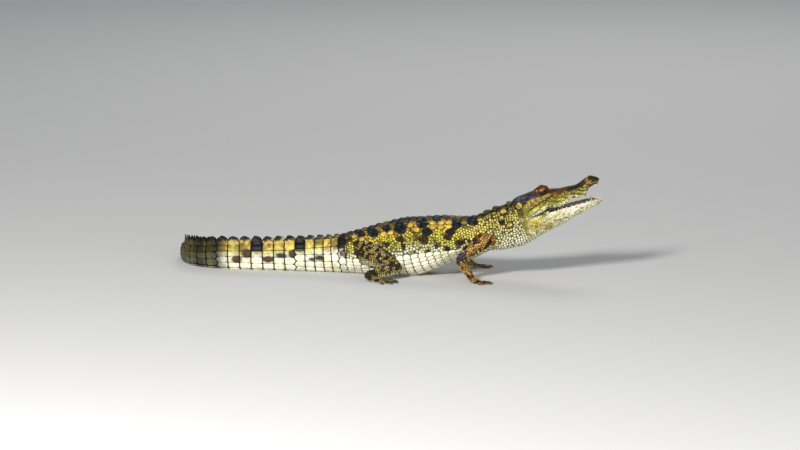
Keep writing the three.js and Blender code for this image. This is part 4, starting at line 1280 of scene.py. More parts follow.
def find_scales(surface):
    """The table of all scales, their places on the skin and the normals there."""
    seeds = Seeds()
    for grow in (tail_seeds, trunk_seeds, neck_seeds, limb_seeds, head_seeds):
        grow(seeds)
    rows = np.vstack(seeds.rows)
    places, normal, moved = surface.drop(rows[:, :3])
    at = place(places)
    rank = rows[:, RANK].copy()
    # A row of scales made for one region gives way where another region starts.
    limb_row = (rank == LIMB_ROWS) | (rank == DIGIT_ROWS)
    strange = (limb_row & (at["kind"] != LIMB_KIND)) | (~limb_row & (at["kind"] == LIMB_KIND))
    keep = (moved < 4) & ~strange & ~keep_out(at, normal)
    rows, places, normal, rank = rows[keep], places[keep], normal[keep], rank[keep]
    size = np.sqrt(rows[:, LONG] * rows[:, WIDE])
    kept = thin_out(places, size, rank)
    rows, places, normal, size, rank = rows[kept], places[kept], normal[kept], size[kept], rank[kept]
    at_rows = place(places)
    # Filling: skin points in a seeded order, each taken if there is room for it.
    pool = RNG.permutation(len(surface.points))
    candidates, candidate_normals = surface.points[pool], surface.normals[pool]
    at = place(candidates)
    fine = ~keep_out(at, candidate_normals) & (candidates[:, 2] > 0.3)
    candidates, candidate_normals, at = candidates[fine], candidate_normals[fine], part_of(at, fine)
    wanted, way, kinds = wanted_size(at), tailward(at), at["kind"]
    # The laid plates of tail and belly meet corner to corner, with nothing between them.
    laid = (rank <= PLATES) & ((at_rows["tail"] > 0) | (at_rows["t"] > 0.5)) & (at_rows["kind"] == BODY_KIND)
    held = np.where(laid, np.hypot(rows[:, LONG], rows[:, WIDE]) * 1.02, size)
    filled = fill(places, held, candidates, wanted)
    high = np.select([kinds == SKULL_KIND, kinds == JAW_KIND, kinds == LIMB_KIND], [0.6, 0.6, 1.1], 1.3)
    extra = np.zeros((len(filled), rows.shape[1]))
    extra[:, :3], extra[:, 3:6] = candidates[filled], way[filled]
    extra[:, LONG] = extra[:, WIDE] = wanted[filled]
    extra[:, HIGH] = high[filled] * np.clip(wanted[filled] / 3.0, 0.6, 1.0)
    extra[:, RANK] = FILLING
    print("scales from rows", len(rows), "filled", len(filled))
    rows = np.vstack([rows, extra])
    places = np.vstack([places, candidates[filled]])
    normal = np.vstack([normal, candidate_normals[filled]])
    return rows, places, normal


CELL = 6.0  # of the grid in which fill looks for neighbours
CELLS_AROUND = list(itertools.product(range(-2, 3), repeat=3))


def fill(places, size, candidates, wanted, crowd=0.93):
    """Indices of the candidates that find room between the places already taken."""
    grid = {}
    for (x, y, z), r, cell in zip(places.tolist(), size.tolist(), (places // CELL).astype(int).tolist()):
        grid.setdefault(tuple(cell), []).append((x, y, z, r))

    def clear(x, y, z, r, i, j, k):
        for di, dj, dk in CELLS_AROUND:
            for px, py, pz, other in grid.get((i + di, j + dj, k + dk), ()):
                if (x - px) ** 2 + (y - py) ** 2 + (z - pz) ** 2 < (crowd * (r + other)) ** 2:
                    return False
        return True

    filled = []
    cells = (candidates // CELL).astype(int).tolist()
    for number, (p, r, cell) in enumerate(zip(candidates.tolist(), wanted.tolist(), cells)):
        if clear(*p, r, *cell):
            grid.setdefault(tuple(cell), []).append((*p, r))
            filled.append(number)
    return np.array(filled, int)


# ------ scales: their outlines and solids
NEIGHBOURS = 22


def outlines(rows, places, normal, sides, groove, sharp):
    """For each scale, the reach of its cell in each direction, and the two axes that the directions use."""
    way = rows[:, 3:6] - (rows[:, 3:6] * normal).sum(1)[:, None] * normal
    x_axis = unit(way)
    y_axis = np.cross(normal, x_axis)
    long, wide = rows[:, LONG], rows[:, WIDE]
    tree = search_tree(places)
    near = np.array([[hit[1] for hit in tree.find_n(p, NEIGHBOURS + 1)] for p in places.tolist()])[:, 1:]
    angle = turns(sides)
    ray = np.stack([np.cos(angle)[None] * long[:, None], np.sin(angle)[None] * wide[:, None]], 2)
    natural = np.linalg.norm(ray, axis=2)
    ray = ray / natural[:, :, None]
    blocked = (natural * 1.32) ** -sharp[:, None]
    for k in range(NEIGHBOURS):
        j = near[:, k]
        step = places[j] - places
        gap = np.linalg.norm(step, axis=1)
        dx, dy = (step * x_axis).sum(1), (step * y_axis).sum(1)
        flat = np.maximum(np.hypot(dx, dy), 1e-6)
        dx, dy = dx * gap / flat, dy * gap / flat
        a, b = (long + long[j]) / 2, (wide + wide[j]) / 2
        gx, gy = dx / a, dy / b
        apart = np.maximum(np.hypot(gx, gy), 1e-6)
        share = (apart**2 + (long * wide - long[j] * wide[j]) / (a * b)) / (2 * apart)
        share = np.clip(share, 0.22 * apart, 0.78 * apart)
        gx, gy = gx / apart / a, gy / apart / b
        share = np.maximum(share - np.hypot(gx * groove[:, 0], gy * groove[:, 1]), 0.1 * apart)
        facing = (normal * normal[j]).sum(1) > 0.1
        toward = gx[:, None] * ray[:, :, 0] + gy[:, None] * ray[:, :, 1]
        reach = np.where(toward > 1e-4, share[:, None] / np.maximum(toward, 1e-4), 1e3)
        blocked += np.where(facing[:, None], reach ** -sharp[:, None], 0)
    return blocked ** (-1 / sharp[:, None]), ray, x_axis, y_axis


# [share of the outline, share of the height] from the sunk foot to the top
DOME = np.array([(1.0, 0), (0.97, 0.30), (0.86, 0.72), (0.60, 0.95), (0.28, 1.0)])
PLATE = np.array([(1.0, 0), (0.985, 0.42), (0.93, 0.84), (0.72, 0.98), (0.35, 1.0)])
SHIELD = np.array([(1.0, 0), (0.985, 0.16), (0.955, 0.36), (0.90, 0.55), (0.82, 0.70), (0.71, 0.81),
                   (0.57, 0.90), (0.41, 0.96), (0.22, 1.0)])
FOOT = 0.55  # how deep a scale's foot is sunk in the skin
PATCH = 0.003  # width of a scale's own patch on the unwrap


def scale_solids(name, surface, rows, places, normal, cells, flat, sides, corner):
    """One joined mesh of closed scales, with their crown attribute and their patches for the bake."""
    reach, ray, x_axis, y_axis = cells
    shields = rows[0, RANK] == SHIELDS
    if shields:  # their outlines are uneven
        turn, phase = turns(sides)[None], 20 * noise(places, 9, 92)[:, None]
        reach = reach * (0.98 + 0.07 * np.sin(3 * turn + phase) + 0.05 * np.sin(5 * turn + 2 * phase))
        profile = np.repeat(SHIELD[None], len(rows), 0)
    else:
        profile = np.where(flat[:, None, None], PLATE[None], DOME[None])
    n, levels = len(rows), profile.shape[1]
    high, keel, long, wide = (rows[:, column, None, None] for column in (HIGH, KEEL, LONG, WIDE))
    facing, share = normal[:, None, None], profile[:, :, 1:]
    local = (ray * reach[..., None])[:, None] * profile[:, :, None, :1]
    world = places[:, None, None] + local[..., :1] * x_axis[:, None, None]
    world = world + local[..., 1:] * y_axis[:, None, None]
    ground, up, _ = surface.drop(world.reshape(-1, 3))
    ground, up = ground.reshape(world.shape), up.reshape(world.shape)
    # Where the skin folds away from the scale, its edge holds to the scale's own plane.
    up = np.where((up * facing).sum(-1, keepdims=True) > 0.3, up, facing)
    along, across = local[..., 0] / np.maximum(long, 1e-6), local[..., 1] / np.maximum(wide, 1e-6)
    ends = smooth(-0.15, 0.15, np.abs(along) - np.abs(across))
    ridge = keel * bell(across / 0.26) * np.clip(1 - np.abs(along) ** 2.4, 0, 1)
    lift = high * share * np.ones((1, 1, sides)) + ridge * (0.72 + 0.28 * along) * share
    if shields:
        flute = np.sin(np.arctan2(across, along) * 11 + 3 * noise(places, 5, 90)[:, None, None])
        pits = noise(ground.reshape(-1, 3), 1.9, 91).reshape(lift.shape) - 0.5
        lift = lift + high * share * (0.07 * flute * (1.1 - share) + 0.34 * pits)
    # A slight tilt: the end towards the tail stands higher.
    lift = lift * (1 + 0.22 * np.clip(along, -1, 1) * (rows[:, RANK] < FILLING)[:, None, None])
    lift[:, 0] = -FOOT
    shell = ground + up * lift[..., None]
    top = places + normal * (rows[:, HIGH] * 1.02 + rows[:, KEEL] * 0.72)[:, None]
    verts = np.concatenate([shell.reshape(n, -1, 3), top[:, None]], 1)
    verts[..., 2] = np.maximum(verts[..., 2], FLOOR_GAP)
    per = verts.shape[1]
    side, after = np.arange(sides), (np.arange(sides) + 1) % sides
    level, last = np.arange(levels - 1)[:, None] * sides, (levels - 1) * sides
    walls = np.stack([level + side, level + after, level + after + sides, level + side + sides], 2)
    caps = np.stack([last + side, last + after, side * 0 + per - 1], 1)
    shift = per * np.arange(n)[:, None, None]
    groups = [(faces.reshape(1, -1, corners) + shift).reshape(-1, corners)
              for faces, corners in ((walls, 4), (caps, 3), (side[::-1], sides))]
    made = fast_mesh(name, verts.reshape(-1, 3), groups)
    crown = np.concatenate([np.repeat(share, sides, 2).reshape(n, -1), np.ones((n, 1))], 1)
    ends = np.concatenate([ends.reshape(n, -1), np.ones((n, 1))], 1)
    patch = local / (2 * np.maximum(reach.mean(1), 1e-6))[:, None, None, None]
    patch = np.concatenate([patch.reshape(n, -1, 2), np.zeros((n, 1, 2))], 1)
    uv = corner[:, None] + patch * PATCH
    return made, crown.reshape(-1), ends.reshape(-1), uv.reshape(-1, 2), np.repeat(np.arange(n), per)


def fast_mesh(name, verts_mm, groups):
    """A mesh from arrays of faces, each array with its own number of corners."""
    corners = np.concatenate([g.ravel() for g in groups])
    sizes = np.concatenate([np.full(len(g), g.shape[1]) for g in groups])
    starts = np.concatenate([[0], np.cumsum(sizes)[:-1]])
    mesh = bpy.data.meshes.new(name)
    mesh.vertices.add(len(verts_mm))
    mesh.vertices.foreach_set("co", (verts_mm * MM).ravel())
    mesh.loops.add(len(corners))
    mesh.loops.foreach_set("vertex_index", corners.astype(np.int32))
    mesh.polygons.add(len(sizes))
    mesh.polygons.foreach_set("loop_start", starts.astype(np.int32))
    mesh.update(calc_edges=True)
    mesh.shade_smooth()
    made = bpy.data.objects.new(name, mesh)
    bpy.context.scene.collection.objects.link(made)
    return made


def paint(target, name, values):
    """A per-point attribute: a colour from n x 3 values, a number from n values."""
    if values.ndim == 2:
        layer = target.data.attributes.new(name, "FLOAT_COLOR", "POINT")
        layer.data.foreach_set("color", np.hstack([values, np.ones((len(values), 1))]).ravel())
    else:
        layer = target.data.attributes.new(name, "FLOAT", "POINT")
        layer.data.foreach_set("value", values.ravel())


def lay_uv(target, uv_per_point):
    layer = target.data.uv_layers.new(name="OFBake")
    corner = np.zeros(len(target.data.loops), int)
    target.data.loops.foreach_get("vertex_index", corner)
    layer.data.foreach_set("uv", uv_per_point[corner].ravel())


def unwrap(at):
    """Places on an unwrap of the skin's own shape: along by around, for body, head, jaw and each limb."""
    kind = at["kind"]
    uv = np.stack([at["length"] / SPINE_LENGTH[-1], at["angle"] / (2 * np.pi) + 0.5], 1)
    for chosen, local, middle in ((kind == SKULL_KIND, at["head"], -30), (kind == JAW_KIND, at["jaw"], -25)):
        turn = np.arctan2(local[:, 1], local[:, 2] - middle)
        uv[chosen] = np.stack([(local[:, 0] + 10) / 210, turn / (2 * np.pi) + 0.5], 1)[chosen]
    index = np.flatnonzero(kind == LIMB_KIND)
    best = nearest_sample(at["points"][index])
    away = at["points"][index] - LIMB_SAMPLES[best, :3]
    turn = np.arctan2(away[:, 1], away[:, 2]) / (2 * np.pi) + 0.5
    uv[index, 0] = (at["down"][index] / 4 + 0.02 * ((best % 7) / 7)).clip(0, 1)
    uv[index, 1] = (at["limb"][index] + turn) / 4
    return 0.02 + 0.96 * np.clip(uv, 0, 1)


# ------ the coat: scales joined into pieces
NECK_END = VENT - 262  # along the spine, where the coat of the neck ends
BELLY_FROM, TAIL_FROM_VENT = 0.52, -6  # where the square plates start: around the body, along the tail
BIG_SCALE = 4.6  # scales with a half size above this have more sides
PLAIN_SIDES, BIG_SIDES, SHIELD_SIDES = 12, 16, 40


def coat_piece_of(at):
    """The name of the joined mesh that each scale belongs to."""
    body = np.select([at["tail"] > 0, at["length"] < NECK_END, at["t"] > BELLY_FROM],
                     ["scales_tail", "scales_neck", "scales_belly"], "scales_back")
    limb = np.where(at["limb"] < 2, "scales_arms", np.where(at["down"] < 1.6, "scales_legs", "scales_feet"))
    return np.select([at["kind"] == SKULL_KIND, at["kind"] == JAW_KIND, at["kind"] == LIMB_KIND],
                     ["scales_skull", "scales_jaw", limb], body)


def groove_of(at):
    """Half the gap to the next scale, across the rows and along them, and how square the outlines are."""
    head, jaw, limb, body = (at["kind"] == kind for kind in (SKULL_KIND, JAW_KIND, LIMB_KIND, BODY_KIND))
    tail = body & (at["tail"] > TAIL_FROM_VENT)
    belly = body & (at["t"] > BELLY_FROM) & (at["length"] > NECK_END)
    neck = body & (at["length"] < NECK_END)
    across = np.select([head, jaw, limb, tail, belly, neck], [0.1, 0.12, 0.28, 1.1, 0.7, 0.55], 0.34)
    along = np.select([head, jaw, limb, tail, belly, neck], [0.1, 0.12, 0.28, 0.04, 0.3, 0.2], 0.34)
    sharp = np.select([head, jaw, limb, tail, belly], [22.0, 16, 10, 34, 28], 12.0)
    return np.stack([across, along], 1), sharp


def shield_colours(own, points, crown, lit):
    """Ochre horn with smears, lighter towards its crown as a painted highlight, and painted shade that
    darkens its rim; those along the midline keep the dark of the back.
    """
    horn = mix(rgb("c6a650"), OLIVE * 1.3, cloud(0.42, 0.62, points, 6, 61) * 0.9)
    horn = mix(horn, BROWN * 0.8, cloud(0.5, 0.66, points, 2.6, 62) * 0.8)
    # Painted highlight: the horn is lighter towards the crown of each shield.
    horn = horn * (0.75 + 0.35 * smooth(0.55, 1.0, crown))[:, None]
    dim = mix(own, OLIVE * 0.55, cloud(0.5, 0.75, points, 4, 63) * 0.8)
    tone = np.where(lit[:, None], horn, dim)
    # Painted shade: brown, then black, towards the foot of each shield.
    tone = mix(tone, BROWN * 0.6, smooth(0.85, 0.6, crown + 0.25 * (noise(points, 3.4, 64) - 0.5)) * 0.85)
    return mix(tone, BLACK * 1.2, smooth(0.6, 0.3, crown) * 0.95)


def build_coat(surface, material):
    rows, places, normal = find_scales(surface)
    at = place(places)
    kind, rank, n = at["kind"], rows[:, RANK], len(rows)
    names, corner, colour = coat_piece_of(at), unwrap(at), markings(at, normal)
    light = 1 + RNG.normal(0, 0.11, n)[:, None] + RNG.normal(0, 0.025, (n, 3))
    lone = np.where(at["length"] < NECK_END, 0.13, 0.1)
    odd = (RNG.random(n) < lone) & (kind == BODY_KIND) & (at["t"] < 0.5) & (rank > PLATES)
    colour = np.where(odd[:, None], mix(colour, DARK, np.full(n, 0.7)), colour)
    flat = (kind == SKULL_KIND) | (kind == JAW_KIND) | (rank == PLATES)
    flat |= (rank == KEELED) & (at["tail"] > 0)
    low = np.select([kind == JAW_KIND, kind == SKULL_KIND], [0.84, 0.74], 0.3)
    shields = rank == SHIELDS
    big = (np.sqrt(rows[:, LONG] * rows[:, WIDE]) > BIG_SCALE) & ~shields
    groups = [(sides, group, outlines(rows, places, normal, sides, *groove_of(at)))
              for sides, group in ((PLAIN_SIDES, ~big & ~shields), (BIG_SIDES, big), (SHIELD_SIDES, shields))]
    total = 0
    for name in sorted(set(names)):
        parts = []
        for sides, group, shapes in groups:
            chosen = (names == name) & group
            if not chosen.any():
                continue
            made, crown, ends, uv, owner = scale_solids(
                name + "_" + str(sides), surface, rows[chosen], places[chosen], normal[chosen],
                tuple(shape[chosen] for shape in shapes), flat[chosen], sides, corner[chosen])
            own = colour[chosen][owner]
            points = coordinates(made.data)
            # The share of each point's own marking, against that of the scale's middle.
            finer = 0.6 if sides > PLAIN_SIDES else 0
            finer = 0.85 if name in ("scales_skull", "scales_jaw", "scales_tail") else finer
            if finer:
                own = mix(own, markings(place(points), normal[chosen][owner]), np.full(len(owner), finer))
            if sides == SHIELD_SIDES:
                lit = (at["t"][chosen] > 0.13)[owner] | (name == "scales_skull")
                own = shield_colours(own, points, crown, lit)
            # Shade in the grooves, weaker at the ends of plates that meet in rings.
            shade = low[chosen][owner]
            shade = shade + (1 - shade) * smooth(0.2, 0.97, crown)
            weak = (name == "scales_tail") * 0.9 + (name == "scales_belly") * 0.3
            shade = 1 - (1 - shade) * (1 - weak * (1 - ends))
            paint(made, "tint", np.clip(own * light[chosen][owner] * shade[:, None], 0.004, 0.95))
            paint(made, "crown", crown)
            lay_uv(made, uv)
            made.data.materials.append(material)
            parts.append(made)
        joined = join_objects(name, parts)
        joined.data.calc_loop_triangles()
        print(name, len(joined.data.loop_triangles))
        total += len(joined.data.loop_triangles)
        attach(joined, "root")
    print("coat triangles", total)


def join_objects(name, parts):
    if len(parts) > 1:
        with bpy.context.temp_override(active_object=parts[0], selected_editable_objects=parts):
            bpy.ops.object.join()
    parts[0].name = name
    parts[0].data.name = name
    return parts[0]


# ------ eyes, lids and nostrils
def eye_frame(mirror):
    """The eyeball's middle, the way it looks, forward along the lids, and up across them."""
    middle = head_point(EYE_U, mirror * EYE_SIDE, EYE_W)
    a, s, n = HEAD_AXES
    look = unit(0.16 * a + mirror * 0.93 * s + 0.30 * n)
    forward = unit(a - (a @ look) * look)
    return middle, look, forward, np.cross(look, forward) * -mirror


IRIS, SLIT_HALF = 5.4, 4.3  # radius of the iris and half height of the pupil


def build_eye(mirror, material):
    middle, look, forward, up = eye_frame(mirror)
    steps, around = 56, 96
    polar, turn = (np.pi * (np.arange(steps + 1) / steps) ** 1.6)[:, None], turns(around)
    x, y = np.sin(polar) * np.cos(turn), np.sin(polar) * np.sin(turn)
    reach = EYE_RADIUS + 0.55 * bell(polar / 0.62, power=4)
    way = (np.cos(polar) + 0 * turn)[..., None] * look + x[..., None] * forward + y[..., None] * up
    verts = (middle + reach[..., None] * way).reshape(-1, 3)
    h, v = x * EYE_RADIUS, y * EYE_RADIUS
    narrow = np.sqrt(np.maximum(1e-3, 1 - np.minimum(0.999, (v / SLIT_HALF) ** 2)))
    slit = (smooth(0.75, 0.45, np.abs(h) / narrow) * (np.abs(v) < SLIT_HALF))[..., None]
    streaks = 0.7 + 0.5 * np.random.default_rng(3).random(around)
    glow = streaks * (1.25 - 0.5 * np.hypot(h, v) / IRIS)
    glow = glow * (1 - 0.75 * smooth(IRIS - 0.7, IRIS + 0.3, np.hypot(h, v)))
    colours = rgb("8a6a24") * glow[..., None] * (1 - slit) + 0.004 * slit
    faces = []
    for i, j in itertools.product(range(steps), range(around)):
        a, b = i * around + j, i * around + (j + 1) % around
        faces.append((a, a + around, b + around, b) if mirror < 0 else (a, b, b + around, a + around))
    side = "right" if mirror < 0 else "left"
    colours = np.clip(colours, 0.003, 1).reshape(-1, 3)
    add_piece("eye_visual_" + side, (verts, faces), colours, material, "eye_" + side)


LID_WIDE, LID_UP, LID_DOWN = 31, 10, 12  # half opening of the lids, in degrees seen from the eye's middle
# Across the lid: degrees out from the opening, and the distance from the eye's middle in radii of the eye.
LID_PROFILE = [(-5, 0.98), (-1.5, 1.075), (0.8, 1.135), (3, 1.17), (7, 1.16), (10, 1.20), (16, 1.235),
               (24, 1.225), (28, 1.245), (36, 1.235), (48, 1.17), (62, 1.05), (76, 0.9), (40, 0.84)]


def build_lid(mirror, material):
    middle, look, forward, up = eye_frame(mirror)
    around = 96
    verts, colours = [], []
    for j in range(around):
        turn = 2 * math.pi * j / around
        c, s = math.cos(turn), math.sin(turn)
        tall = LID_UP if s > 0 else LID_DOWN
        edge_a, edge_b = LID_WIDE * c, tall * abs(s) ** 1.25 * (1 if s > 0 else -1)
        out_a, out_b = unit(np.array([c / LID_WIDE * 20, s]))
        for offset, share in LID_PROFILE:
            a, b = math.radians(edge_a + offset * out_a), math.radians(edge_b + offset * out_b + 1)
            way = math.cos(a) * math.cos(b) * look + math.sin(a) * forward + math.sin(b) * math.cos(a) * up
            way = unit(way)
            crease = 0.10 * math.sin(j * 1.31) if 5 < offset < 50 else 0
            verts.append(middle + way * (share * EYE_RADIUS + crease))
            shade = RUST * 0.5 if s > -0.1 else DARK * 0.8
            lit = mix(shade[None], rgb("c08c3c")[None], np.array([0.85 * (s > 0.15) * (1 < offset < 12)]))[0]
            tone = BLACK * 1.1 if offset < 3 else lit
            colours.append(tone * (1 + 0.18 * math.sin(j * 1.31)))
    faces = [face[::1 if mirror < 0 else -1] for face in band_faces(around, len(LID_PROFILE))]
    name = "lids_" + ("right" if mirror < 0 else "left")
    add_piece(name, (verts, faces), np.clip(colours, 0.003, 1), material)


def build_nostrils(surface, material):
    """A raised crescent around each nostril, and in it a black disc, painted shade that stands for the dark
    opening.
    """
    shells, colours = [], []
    for mirror in (-1, 1):
        middle = head_point(NOSTRIL[0], NOSTRIL[1] * mirror, NOSTRIL[2])
        spot, normal, _ = surface.drop(middle[None])
        spot, normal = spot[0], normal[0]
        a = unit(HEAD_AXES[0] - (HEAD_AXES[0] @ normal) * normal)
        b = np.cross(normal, a)
        tilt = math.radians(28) * mirror
        long, wide = math.cos(tilt) * a + math.sin(tilt) * b, -math.sin(tilt) * a + math.cos(tilt) * b
        verts = []
        for turn in turns(28):
            out = math.cos(turn) * 2.7 * long + math.sin(turn) * 1.5 * wide
            radial = unit(out)
            thick = 0.62 + 0.2 * math.cos(turn - 0.7)
            verts += [spot + out + thick * (math.cos(q) * radial + math.sin(q) * normal) for q in turns(8)]
        shells.append((verts, band_faces(28, 8)))
        colours.append(np.tile(DARK * 0.9, (len(verts), 1)))
        # Painted shade: a thin black disc stands in for the nostril's opening.
        pit = ellipsoid(spot + normal * 0.05, (long, wide, normal), (2.5, 1.25, 0.35), 10)
        shells.append(pit)
        colours.append(np.tile(BLACK * 0.3, (len(pit[0]), 1)))
    add_piece("nostrils", join_shells(shells), np.clip(np.vstack(colours), 0.002, 1), material)


# ------ teeth, tongue, claws and crest
# Teeth along a jaw's edge: station and length, on both sides, as in the solids.
UPPER_TEETH = [(12.45, 3), (12.1, 3.5), (11.6, 5), (11.1, 4), (9.35, 3.5), (8.85, 4.5), (8.45, 6), (8.05, 5),
               (7.5, 3.5), (7.05, 3.5), (6.6, 3.5), (6.2, 4), (5.8, 3.5), (5.4, 3)]
LOWER_TEETH = [(11.4, 5), (10.8, 4), (10.2, 4), (9.5, 7), (8.8, 3.5), (8.2, 3.5), (7.6, 4), (7.0, 4.5),
               (6.4, 4), (5.9, 3.5), (5.4, 3.5), (4.9, 3)]


def spike(root, way, bend, length, radius, sides=12, steps=9, sink=3.0):
    """A curved cone with a rounded point, from below its root to its tip."""
    way, rings = unit(way), []
    side = unit(np.cross(way, (0.31, 0.22, 0.9)))
    other = np.cross(way, side)
    for i in range(steps + 1):
        t = i / steps
        middle = root + way * (t * (length + sink) - sink) + bend * t * t
        r = radius * (1 - t) ** 0.62 if t > 0.35 else radius * (1 - 0.35) ** 0.62 * (1.02 + 0.25 * (0.35 - t))
        angle = turns(sides)
        rings.append(middle + max(r, 0.06) * (np.outer(np.cos(angle), side) + np.outer(np.sin(angle), other)))
    return closed_loft(rings)


def tooth_piece(name, teeth, material):
    verts, faces = join_shells([spike(*tooth) for tooth in teeth])
    along = np.tile(np.append(np.repeat(np.arange(10) / 9, 12), [0, 1]), len(teeth))
    stain = mix(rgb("a3854f"), rgb("e9dfc2"), smooth(0.3, 0.75, along))
    add_piece(name, (verts, faces), stain * (1 - 0.25 * noise(verts, 3.0, 31)[:, None]), material)


def build_teeth(material):
    upper, lower = [], []
    for (station, length), side in itertools.product(UPPER_TEETH, (-1, 1)):
        u, _, lip, wide = spline(np.array(SKULL)[:, :4], station)[0]
        root = head_point(u - (2 if station > 11.9 else 0), side * max(wide - 3.2, 2), lip + 1)
        way = -HEAD_AXES[2] + np.array([0, side * 0.12, 0])
        bend = -HEAD_AXES[0] * 0.5 + np.array([0, -side * 0.5, 0])
        upper.append((root, way, bend, length + 0.6, 1.55 + 0.05 * (length - 5)))
    for (station, length), side in itertools.product(LOWER_TEETH, (-1, 1)):
        u, top, _, wide = spline(JAW, station)[0]
        root = jaw_point(u, side * (wide - 3.4), top - 1)
        way = JAW_AXES[2] + np.array([0, side * 0.15, 0])
        bend = -JAW_AXES[0] * 0.5 + np.array([0, -side * 0.5, 0])
        lower.append((root, way, bend, length + 0.6, 1.45 + 0.05 * (length - 5)))
    tooth_piece("teeth_upper", upper, material)
    tooth_piece("teeth_lower", lower, material)


def build_tongue(material):
    verts, faces = ellipsoid(jaw_point(106.0, 0.0, -10.5), JAW_AXES, (44, 19, 4.5), 36)
    verts = verts + JAW_AXES[2] * ((noise(verts, 3.0, 21) - 0.5) * 0.8)[:, None]
    tone = mix(PINK, rgb("9c7a5a"), noise(verts, 8, 22))
    add_piece("tongue_visual", (verts, faces), tone, material, "tongue")


def claw_rings(rows, way, radius):
    """Rings of one claw, from inside its digit down to its point."""
    rings = []
    across = np.cross(way, (0, 0, 1))
    for t in np.arange(CLAW_STEPS + 1) / CLAW_STEPS:
        middle = np.array(rows[-1][:3]) + way * (-1.2 + t * (CLAW_LENGTH + 0.8))
        middle[2] = radius * 0.66 + 0.8 * math.sin(math.pi * min(1, t * 1.15)) - 1.5 * t * t
        r = radius * 0.55 * (1 - t**1.6) ** 0.8 + 0.12
        turn = turns(CLAW_SIDES)
        ring = middle + np.outer(np.cos(turn) * r * 0.82, across) + np.outer(np.sin(turn) * r, (0, 0, 1))
        ring[:, 2] = np.maximum(ring[:, 2], FLOOR_GAP)
        rings.append(ring)
    return rings


def build_claws(material):
    along = np.append(np.repeat(np.arange(CLAW_STEPS + 1) / CLAW_STEPS, CLAW_SIDES), [0, 1])
    tone = mix(rgb("3a2d1d"), rgb("16120d"), smooth(0.2, 0.8, along))
    for name, limb in LIMBS.items():
        part = ("hand_" if limb["hand"] else "foot_") + name.split("_")[1]
        for number, digit in enumerate(FINGERS if limb["hand"] else TOES, 1):
            if digit[2]:
                rings = claw_rings(*digit_rows(limb, digit), FINGER_RADIUS if limb["hand"] else TOE_RADIUS)
                label = "%s_%d" % (part, number)
                add_piece("claw_visual_" + label, closed_loft(rings), tone, material, "claw_" + label)


# Outlines of the upright scutes: share of the whorl's length against share of the height.
PAIRED_OUTLINE = [(0, 0.30), (0.05, 0.50), (0.14, 0.68), (0.3, 0.83), (0.5, 0.94), (0.7, 1.0), (0.84, 0.98),
                  (0.93, 0.86), (0.98, 0.66), (1.0, 0.40)]
SINGLE_OUTLINE = [(0, 0.12), (0.1, 0.36), (0.3, 0.66), (0.5, 0.86), (0.7, 0.97), (0.82, 1.0), (0.9, 0.95),
                  (0.96, 0.74), (1.0, 0.32)]


def crest_blade(k, side):
    """One upright scute: a leaf as long as its whorl, leaning back, with a thick foot sunk in the skin."""
    from_station, to_station = station_at(VENT + WHORLS[k]), station_at(VENT + WHORLS[k + 1])
    high = crest_height(k) * (1 + 0.05 * math.sin(k * 2.1 + side))
    offset = crest_offset(k) * side
    along, up_steps = 22, 9
    shares = (1 - np.cos(np.linspace(0, np.pi, along))) / 2
    outline = np.array(PAIRED_OUTLINE if side else SINGLE_OUTLINE)
    rise = np.interp(shares, outline[:, 0], outline[:, 1])
    slender = min(1.0, body_section(np.array([from_station]))[4][0] / 16)
    front, back = [], []
    for v in np.linspace(0, 1, up_steps):
        reach = 0.04 + 0.92 * shares + 0.10 * v**1.5 * (1 - 0.5 * shares)
        station = from_station + (to_station - from_station) * reach
        middle, _, side_axis, up_axis, width, height = body_section(station)
        slope = np.minimum(1, abs(offset) / width)
        lift = height * (1 - slope**ROUND_BACK) ** (1 / ROUND_BACK) - SKIN_DEPTH - 1.4
        tall = (high * 0.96 + SKIN_DEPTH + 1.4) * rise
        edge = np.clip(4.5 * np.minimum(shares, 1 - shares), 0, 1) ** 0.5
        thick = ((2.5 * (1 - v) ** 1.4 + 0.75 * (1 - v**3) + 0.25) * (0.3 + 0.7 * edge) * slender)[:, None]
        ripple = 0.22 * np.sin(9 * v + 5 * shares + k)[:, None]
        lean = (offset - side * 0.08 * v * high) if side else 0.0
        base = middle + side_axis * lean + up_axis * (lift + tall * v)[:, None]
        front.append(base + side_axis * (thick + ripple * thick / 3))
        back.append(base - side_axis * (thick - ripple * thick / 3))
    n = along * up_steps
    faces = []
    for v in range(up_steps - 1):
        for i in range(along - 1):
            a = v * along + i
            faces.append((a, a + along, a + along + 1, a + 1))
            faces.append((n + a, n + a + 1, n + a + along + 1, n + a + along))
    grid = np.arange(n).reshape(up_steps, along)
    rim = np.concatenate([grid[0], grid[1:, -1], grid[-1, -2::-1], grid[-2:0:-1, 0]]).tolist()
    for a, b in zip(rim, rim[1:] + rim[:1]):
        faces.append((a, b, n + b, n + a))
    height_share = np.outer(np.linspace(0, 1, up_steps), rise).ravel()
    return (np.vstack(front + back), faces), np.concatenate([height_share, height_share])


def build_crest(material):
    blades = [crest_blade(k, side) for k in range(DOUBLE_WHORLS + SINGLE_WHORLS)
              for side in ((-1, 1) if k < DOUBLE_WHORLS else (0,))]
    verts, faces = join_shells([shell for shell, _ in blades])
    share = np.concatenate([share for _, share in blades])
    at = place(verts)
    base = body_colours(dict(at, t=at["t"] * 0 + 0.16))
    dark = smooth(0.42, 0.62, share + 0.35 * (noise(verts, 6, 41) - 0.5))
    tone = np.clip(mix(base, BLACK * 1.1, dark), 0.004, 1)
    made = add_piece("crest", (verts, faces), tone, material)
    length = at["length"] / SPINE_LENGTH[-1]
    lay_uv(made, np.stack([0.02 + 0.96 * length, 0.5 + at["angle"] / 8 + share * 0.1], 1).clip(0, 1))


